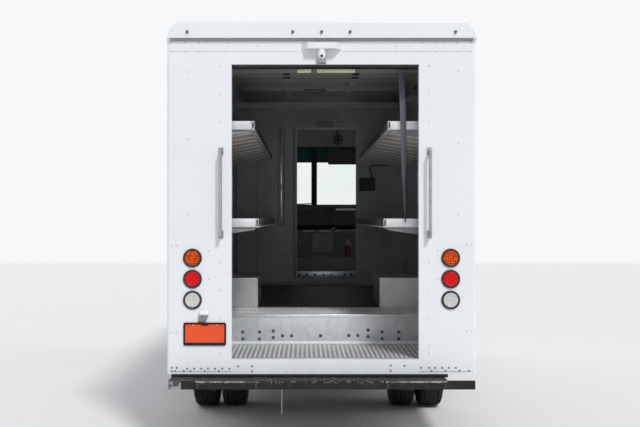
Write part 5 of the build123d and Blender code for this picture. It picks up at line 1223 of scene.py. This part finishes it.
# cab doors: window gaskets, flush pulls and a kick strip, thin enough to slide into the wall
doorPlan = {"face": 1.135, "glassLow": (1.665, 1.750), "glassHigh": (2.015, 2.590), "corner": 0.05,
            "gasket": 0.024}
glassLine = softCorners(doorPlan["glassLow"], doorPlan["glassHigh"], doorPlan["corner"] + doorPlan["gasket"])
for side, sideName in bothSides:
    faceWay = sideName.lower()
    body = "side_door_" + faceWay
    gasket = makeBorder("doorGasket" + sideName, [(doorPlan["face"], y, z) for y, z in glassLine],
                        doorPlan["gasket"], (side * 0.0022, 0, 0), side=side)
    finishPiece(gasket, "rubberBlack", 40, body)
    lowX = doorPlan["face"] - 0.0005
    highX = doorPlan["face"] + 0.0018
    pull = makeBlock("doorPull" + sideName, (lowX, 1.560, 1.360), (highX, 1.680, 1.440), 0.0006, 2, faceWay,
                     [(insetFaces, 0.012), (pushFaces, (side * -0.0012, 0, 0))], side)
    lock = makeRound("doorLocks", (side * (doorPlan["face"] + 0.0008), 1.620, 1.320), 0.012, 0.002, faceWay,
                     20,
                     0.010, width=0.0004)
    finishPiece([pull, lock], "tubeSteel", body=body)
    kick = makeBlock("doorKick" + sideName, (lowX, 1.530, 0.690), (highX, 2.150, 0.900), 0.0006, side=side)
    finishPiece(kick, "brightEdge", body=body)
print("cab doors made")

# front: lamp bezels, signals, brow lamps, pane gaskets, wipers and hood latches
frontPlan = {"lampX": 0.760, "lampZ": 1.060, "browLamps": (-0.90, -0.22, 0.0, 0.22, 0.90),
             "latches": (-0.53, 0.0, 0.53)}
for side, sideName in bothSides:
    bezel = makeRing("lampBezel" + sideName, (side * frontPlan["lampX"], 3.446, frontPlan["lampZ"]), 0.103,
                     0.012,
                     "rear", 44)
    finishPiece(bezel, "tubeSteel", 60)
    signal = makeBlock("frontSignal" + sideName, (0.907, 3.438, 0.995), (0.983, 3.452, 1.125), 0.003, 3,
                       "front",
                       [(insetFaces, 0.008), (moveFaces, (0, 0.003, 0))], side)
    finishPiece(signal, "amberLens")
browTilt = math.degrees(math.atan2(0.060, 0.463))
for number, x in enumerate(frontPlan["browLamps"]):
    brow = makeRound("browLamp" + str(number), (0, 0, 0), 0.026, 0.022, "front", 24, 0.017,
                     [(insetFaces, 0.005, 0.003)], 0.003, 3, 50)
    finishPiece(placePiece(brow, (x, 3.094, 2.860), browTilt), "amberLens", 40)
paneCorners = ((0.010, 1.878), (1.032, 1.878), (1.032, 2.732), (0.010, 2.732))
paneOutline = [(x, glassY(z) - 0.001, z) for x, z in paneCorners]
paneGaskets = [makeBorder("paneGaskets", paneOutline, 0.026, (0, 0.008, 0.001), 0.002, 2, 50, side)
               for side in (-1, 1)]
finishPiece(paneGaskets, "rubberBlack", 40)

wipers = []
for pivotX, tipX in ((-0.90, -0.30), (0.12, 0.72)):
    base = Vector((pivotX, glassY(1.862) + 0.014, 1.862))
    tip = Vector((tipX, glassY(1.932) + 0.022, 1.932))
    hub = makeRound("wipers", base, 0.020, 0.030, "rear", 20, 0.016, width=0.004)
    way = tip - base
    arm = makeBlock("wiperArm", (-0.007, -0.004, 0), (0.007, 0.004, way.length), 0.002)
    arm.data.transform(Matrix.Translation(base) @ way.to_track_quat("Z", "Y").to_matrix().to_4x4())
    bladeWay = Vector((0.50, glassY(1.94) - glassY(1.91), 0.03))
    blade = makeBlock("wiperBlade", (-0.006, -0.008, -0.26), (0.006, 0.006, 0.26), 0.003)
    blade.data.transform(Matrix.Translation(tip + Vector((0, -0.004, 0.0)))
                         @ bladeWay.to_track_quat("Z", "Y").to_matrix().to_4x4())
    wipers += [hub, arm, blade]
finishPiece(wipers, "grainPlastic", 40)
hoodTilt = math.degrees(math.atan2(3.4228 - 3.2104, 1.818 - 1.372))
latches = [placePiece(makeBlock("hoodLatches", (-0.028, -0.002, -0.020), (0.028, 0.012, 0.020), 0.003, 3,
                                "front",
                                [(insetFaces, 0.007, -0.004)]), (x, 3.414, 1.398), hoodTilt)
           for x in frontPlan["latches"]]
finishPiece(latches, "tubeSteel")

# mirror glasses, and a small round one below each
mirrors = []
for side in (-1, 1):
    mirrors.append(makeBlock("mirrorGlasses", (1.304, 3.0025, 2.075), (1.456, 3.0060, 2.366), 0.001,
                             work=[(insetFaces, 0.004, -0.001)], side=side))
    mirrors.append(makeRound("mirrorSpot", (side * 1.380, 3.003, 2.008), 0.052, 0.008, "rear", 36, 0.040,
                             [(insetFaces, 0.018, 0.002)]))
finishPiece(mirrors, "mirrorShine", 50)
print("front made")

# dash: hooded dials as (x, z, radius), switch row, air outlets, horn cap and pedals
dashPlan = {
    "dials": ((-0.690, 1.815, 0.052), (-0.540, 1.815, 0.052), (-0.455, 1.855, 0.024), (-0.755, 1.855, 0.020)),
    "vents": (-0.93, 0.20, 0.75), "pedals": ((-0.640, 0.045), (-0.520, 0.030)),
}
cluster = makeBlock("dashCluster", (-0.790, 2.945, 1.735), (-0.410, 2.962, 1.905), 0.006, 3,
                    work=[(insetFaces, 0.010, -0.003)])
finishPiece(cluster, "grainPlastic")
dials = [makeRound("dashDials", (x, 2.9435, z), radius, 0.006, "rear", 32, None,
                   [(insetFaces, 0.004), (pushFaces, (0, 0.003, 0))]) for x, z, radius in dashPlan["dials"]]
finishPiece(dials, "tubeSteel", 40)
switches = []
for step in range(6):
    x = -0.33 + 0.06 * step
    switches.append(makeBlock("dashSwitches", (x - 0.018, 2.948, 1.800), (x + 0.018, 2.962, 1.845), 0.002,
                              work=[(insetFaces, 0.005), (tipFaces, 0.15, (x, 2.948, 1.8225))]))
for x in dashPlan["vents"]:
    switches.append(makeBlock("dashVents", (x - 0.065, 2.950, 1.820), (x + 0.065, 2.962, 1.900), 0.002,
                              work=[(insetFaces, 0.007), (pushFaces, (0, 0.006, 0))]))
    for level in range(4):
        z = 1.832 + 0.017 * level
        switches.append(makeBlock("dashFins", (x - 0.058, 2.951, z), (x + 0.058, 2.958, z + 0.003), 0.0008,
                                  1))
finishPiece(switches, "grainPlastic")
horn = makeRound("hornCap", (0, 0, 0), 0.045, 0.014, "up", 32, 0.036, [(insetFaces, 0.010, 0.002)], 0.003, 3,
                 50)
placePiece(horn, (-0.600, 2.502, 1.7312), 30)
finishPiece(horn, "grainPlastic", 40, "steering_wheel")
pedals = []
for x, width in dashPlan["pedals"]:
    pedal = makeBlock("footPedals", (-width, -0.006, -0.040), (width, 0.006, 0.040), 0.003,
                      work=[(insetFaces, 0.006, 0.002)])
    stem = makeRound("pedalStems", (x, 2.912, 1.030), 0.008, 0.190, (32, 0, 0), 12, width=0.001)
    pedals += [placePiece(pedal, (x, 2.86, 1.110), 35), stem]
finishPiece(pedals, "rubberBlack")
print("dash made")

# bumper: grip points on its tread with bright specks of wear and painted glints, edge bars and rivets on the two
# pads
bumperPlan = {"top": 0.565, "pitch": 0.072, "rows": (-3.534, -3.498, -3.462, -3.426, -3.404),
              "pads": ((-0.921, -0.460), (0.466, 0.913))}
grip = makeRound("bumperGrips", (0, 0, 0.0008), 0.010, 0.0036, "up", 8, 0.006, [(insetFaces, 0.0025, -0.001)])
gripPlaces = []
for row, y in enumerate(bumperPlan["rows"]):
    for step in range(27):
        x = -1.06 + bumperPlan["pitch"] * step + (0.036 if row % 2 else 0)
        if x < 0.90:
            gripPlaces.append((x, y, bumperPlan["top"]))
finishPiece(spreadCopies(grip, gripPlaces), "wornAndGlintSteel", 40)
padBars = [makeBlock("padBars", (startX, -3.5662, 0.551), (endX, -3.5500, 0.5615), 0.003, 3)
           for startX, endX in bumperPlan["pads"]]
finishPiece(padBars, "scrapedSteel")
padRivets = [(x, -3.565, z) for x in (-0.905, -0.480, 0.482, 0.897) for z in (0.518, 0.538)]
finishPiece(spreadCopies(makeRivet("padRivets", "rear"), padRivets), "darkBolt", 40)

# pale nicks along the bumper's rear top edge, scratches that also stand as painted glints, every second one short
# and upright
nickAndGlintPlan = {"count": 61, "left": -1.00, "right": 0.89, "padY": -3.5661, "edgeY": -3.5525}
nickAndGlintPlaces = []
for step in range(nickAndGlintPlan["count"]):
    share = step / (nickAndGlintPlan["count"] - 1)
    x = nickAndGlintPlan["left"] + (nickAndGlintPlan["right"] - nickAndGlintPlan["left"]) * share + 0.034 * math.sin(step * 2.4)
    upright = step % 2
    z = 0.5535 if upright else 0.5565 + 0.0055 * math.sin(step * 1.7)
    length = 0.18 + 0.34 * abs(math.sin(step * 2.9)) if upright else 0.12 + 0.75 * abs(math.sin(step * 3.1)) ** 3
    onPad = any(startX < x < endX for startX, endX in bumperPlan["pads"])
    lean = Matrix.Rotation(upright * math.pi / 2 + 0.35 * math.sin(step * 5.3), 4, "Y")
    place = Matrix.Translation((x, nickAndGlintPlan["padY"] if onPad else nickAndGlintPlan["edgeY"], z))
    nickAndGlintPlaces.append(place @ lean @ Matrix.Scale(length, 4, (1, 0, 0)))
glintNick = makeBlock("bumperNicksAndGlints", (-0.016, -0.0006, -0.0014), (0.016, 0.0006, 0.0014), 0.0003, 1)
finishPiece(spreadCopies(glintNick, nickAndGlintPlaces), "scrapedSteel")

# black strip painted as the shade in the gap between the body and the bumper, and the scraped left end of the
# bumper
gapShade = makeBlock("bumperGapShade", (-1.118, -3.3925, 0.5655), (0.940, -3.3715, 0.5885), 0.002)
finishPiece(gapShade, "blackTrim")
scrape = makeBlock("bumperScrape", (-1.117, -3.5665, 0.503), (-1.026, -3.5640, 0.562), 0.0008,
                   work=[(insetFaces, 0.006, -0.0006)])
finishPiece(scrape, "scrapedSteel")

# rear camera: dark lens low on its dome, and a grey cover over the white mount behind it, its grey painted shade
# under the dome
lensPlan = {"domeY": -3.4185, "domeRadius": 0.030, "z": 2.946, "tilt": 22, "mountHalf": 0.032}
eye = makeRound("cameraLens", (0, 0, 0), 0.011, 0.006, "rear", 24, 0.009, [(insetFaces, 0.003, 0.0015)])
placePiece(eye, (0, lensPlan["domeY"] - lensPlan["domeRadius"] + 0.0015, lensPlan["z"]), lensPlan["tilt"])
finishPiece(eye, "grainPlastic", 60)
mount = makeBlock("cameraMountShade", (-lensPlan["mountHalf"], -3.4325, 2.8945),
                  (lensPlan["mountHalf"], rearFaceY, 2.9385),
                  0.003, 3, work=[(insetFaces, 0.010, 0.004)])
finishPiece(mount, "shadeGrey")

# two screws in each foot of the handles
footScrew = makeRound("handleScrews", (0, 0, 0), 0.0065, 0.004, "rear", 14, 0.005,
                      [(insetFaces, 0.002, -0.0008)])
screwPlaces = [(x, -3.3925, z + step) for x in (-0.748, 0.801) for z in (2.245, 1.627)
               for step in (-0.021, 0.021)]
finishPiece(spreadCopies(footScrew, screwPlaces), "tubeSteel", 40)

# plate lamp: white housing with a grey wedge below it, for the lamp's grey underside and the painted shadow it
# casts
housingLine = ((-3.386, 1.073), (-3.420, 1.068), (-3.434, 1.040), (-3.432, 1.030), (-3.386, 1.026))
plateLamp = makeSheet("plateLamp", [(-0.904, y, z) for y, z in housingLine], (0.066, 0, 0), 0.004, 3)
finishPiece(plateLamp, "whiteMoulding")
wedgeLine = ((-0.908, 1.027), (-0.846, 1.027), (-0.862, 0.976), (-0.918, 0.976))
wedge = makeSheet("plateLampShadowWedge", [(x, -3.386, z) for x, z in wedgeLine], (0, -0.022, 0.004), 0.002)
finishPiece(wedge, "boltSteel")
print("rear fittings made")

# floor, sky and suns, each sun as (way, power, softness)
studioPlan = {
    "floorSize": 60, "floorShade": 0.80, "sky": 0.46, "skyColor": (0.93, 0.96, 1.0),
    "seenColor": (0.93, 0.94, 0.95),
    "suns": {
        "keySun": ((-0.40, 1.0, -1.114), 1.78, 9),
        "fillSun": ((0.8, -0.9, -0.9), 0.5, 40),
        "sideSun": ((-1.0, -0.1, -0.7), 0.35, 40),
    },
}
pickNone()
bpy.ops.mesh.primitive_plane_add(size=studioPlan["floorSize"], location=(0, 0, -0.001))
floor = nameNew("studioFloor")
floorFinish = bpy.data.materials.new("floorShade")
floorFinish.use_nodes = True
floorShader = floorFinish.node_tree.nodes["Principled BSDF"]
floorShader.inputs["Base Color"].default_value = (*grey(studioPlan["floorShade"]), 1)
floorShader.inputs["Roughness"].default_value = 0.9
floor.data.materials.append(floorFinish)

# the sky lights the van dimly, and rays from the camera or through glass see it bright
world = bpy.data.worlds.new("studioSky")
scene.world = world
world.use_nodes = True
sky = world.node_tree
for node in list(sky.nodes):
    sky.nodes.remove(node)
seen = addNode(sky, "Background", {"Color": (*studioPlan["seenColor"], 1)})
lit = addNode(sky, "Background", {"Color": (*studioPlan["skyColor"], 1), "Strength": studioPlan["sky"]})
paths = addNode(sky, "LightPath")
anyPath = addNode(sky, "Math", operation="MAXIMUM")
bentPath = addNode(sky, "Math", operation="MAXIMUM")
blend = addNode(sky, "MixShader")
out = addNode(sky, "OutputWorld")
for start, end in (
    (paths.outputs["Is Camera Ray"], anyPath.inputs[0]),
    (paths.outputs["Is Glossy Ray"], bentPath.inputs[0]),
    (paths.outputs["Is Transmission Ray"], bentPath.inputs[1]),
    (bentPath.outputs[0], anyPath.inputs[1]),
    (anyPath.outputs[0], blend.inputs[0]),
    (lit.outputs[0], blend.inputs[1]),
    (seen.outputs[0], blend.inputs[2]),
    (blend.outputs[0], out.inputs["Surface"]),
):
    sky.links.new(start, end)
for name, (way, power, softness) in studioPlan["suns"].items():
    sunData = bpy.data.lights.new(name, "SUN")
    sunData.energy = power
    sunData.angle = math.radians(softness)
    sun = bpy.data.objects.new(name, sunData)
    sun.rotation_euler = Vector(way).to_track_quat("-Z", "Y").to_euler()
    sun.location = -Vector(way) * 10
    scene.collection.objects.link(sun)
print("studio made")

bpy.context.view_layer.update()
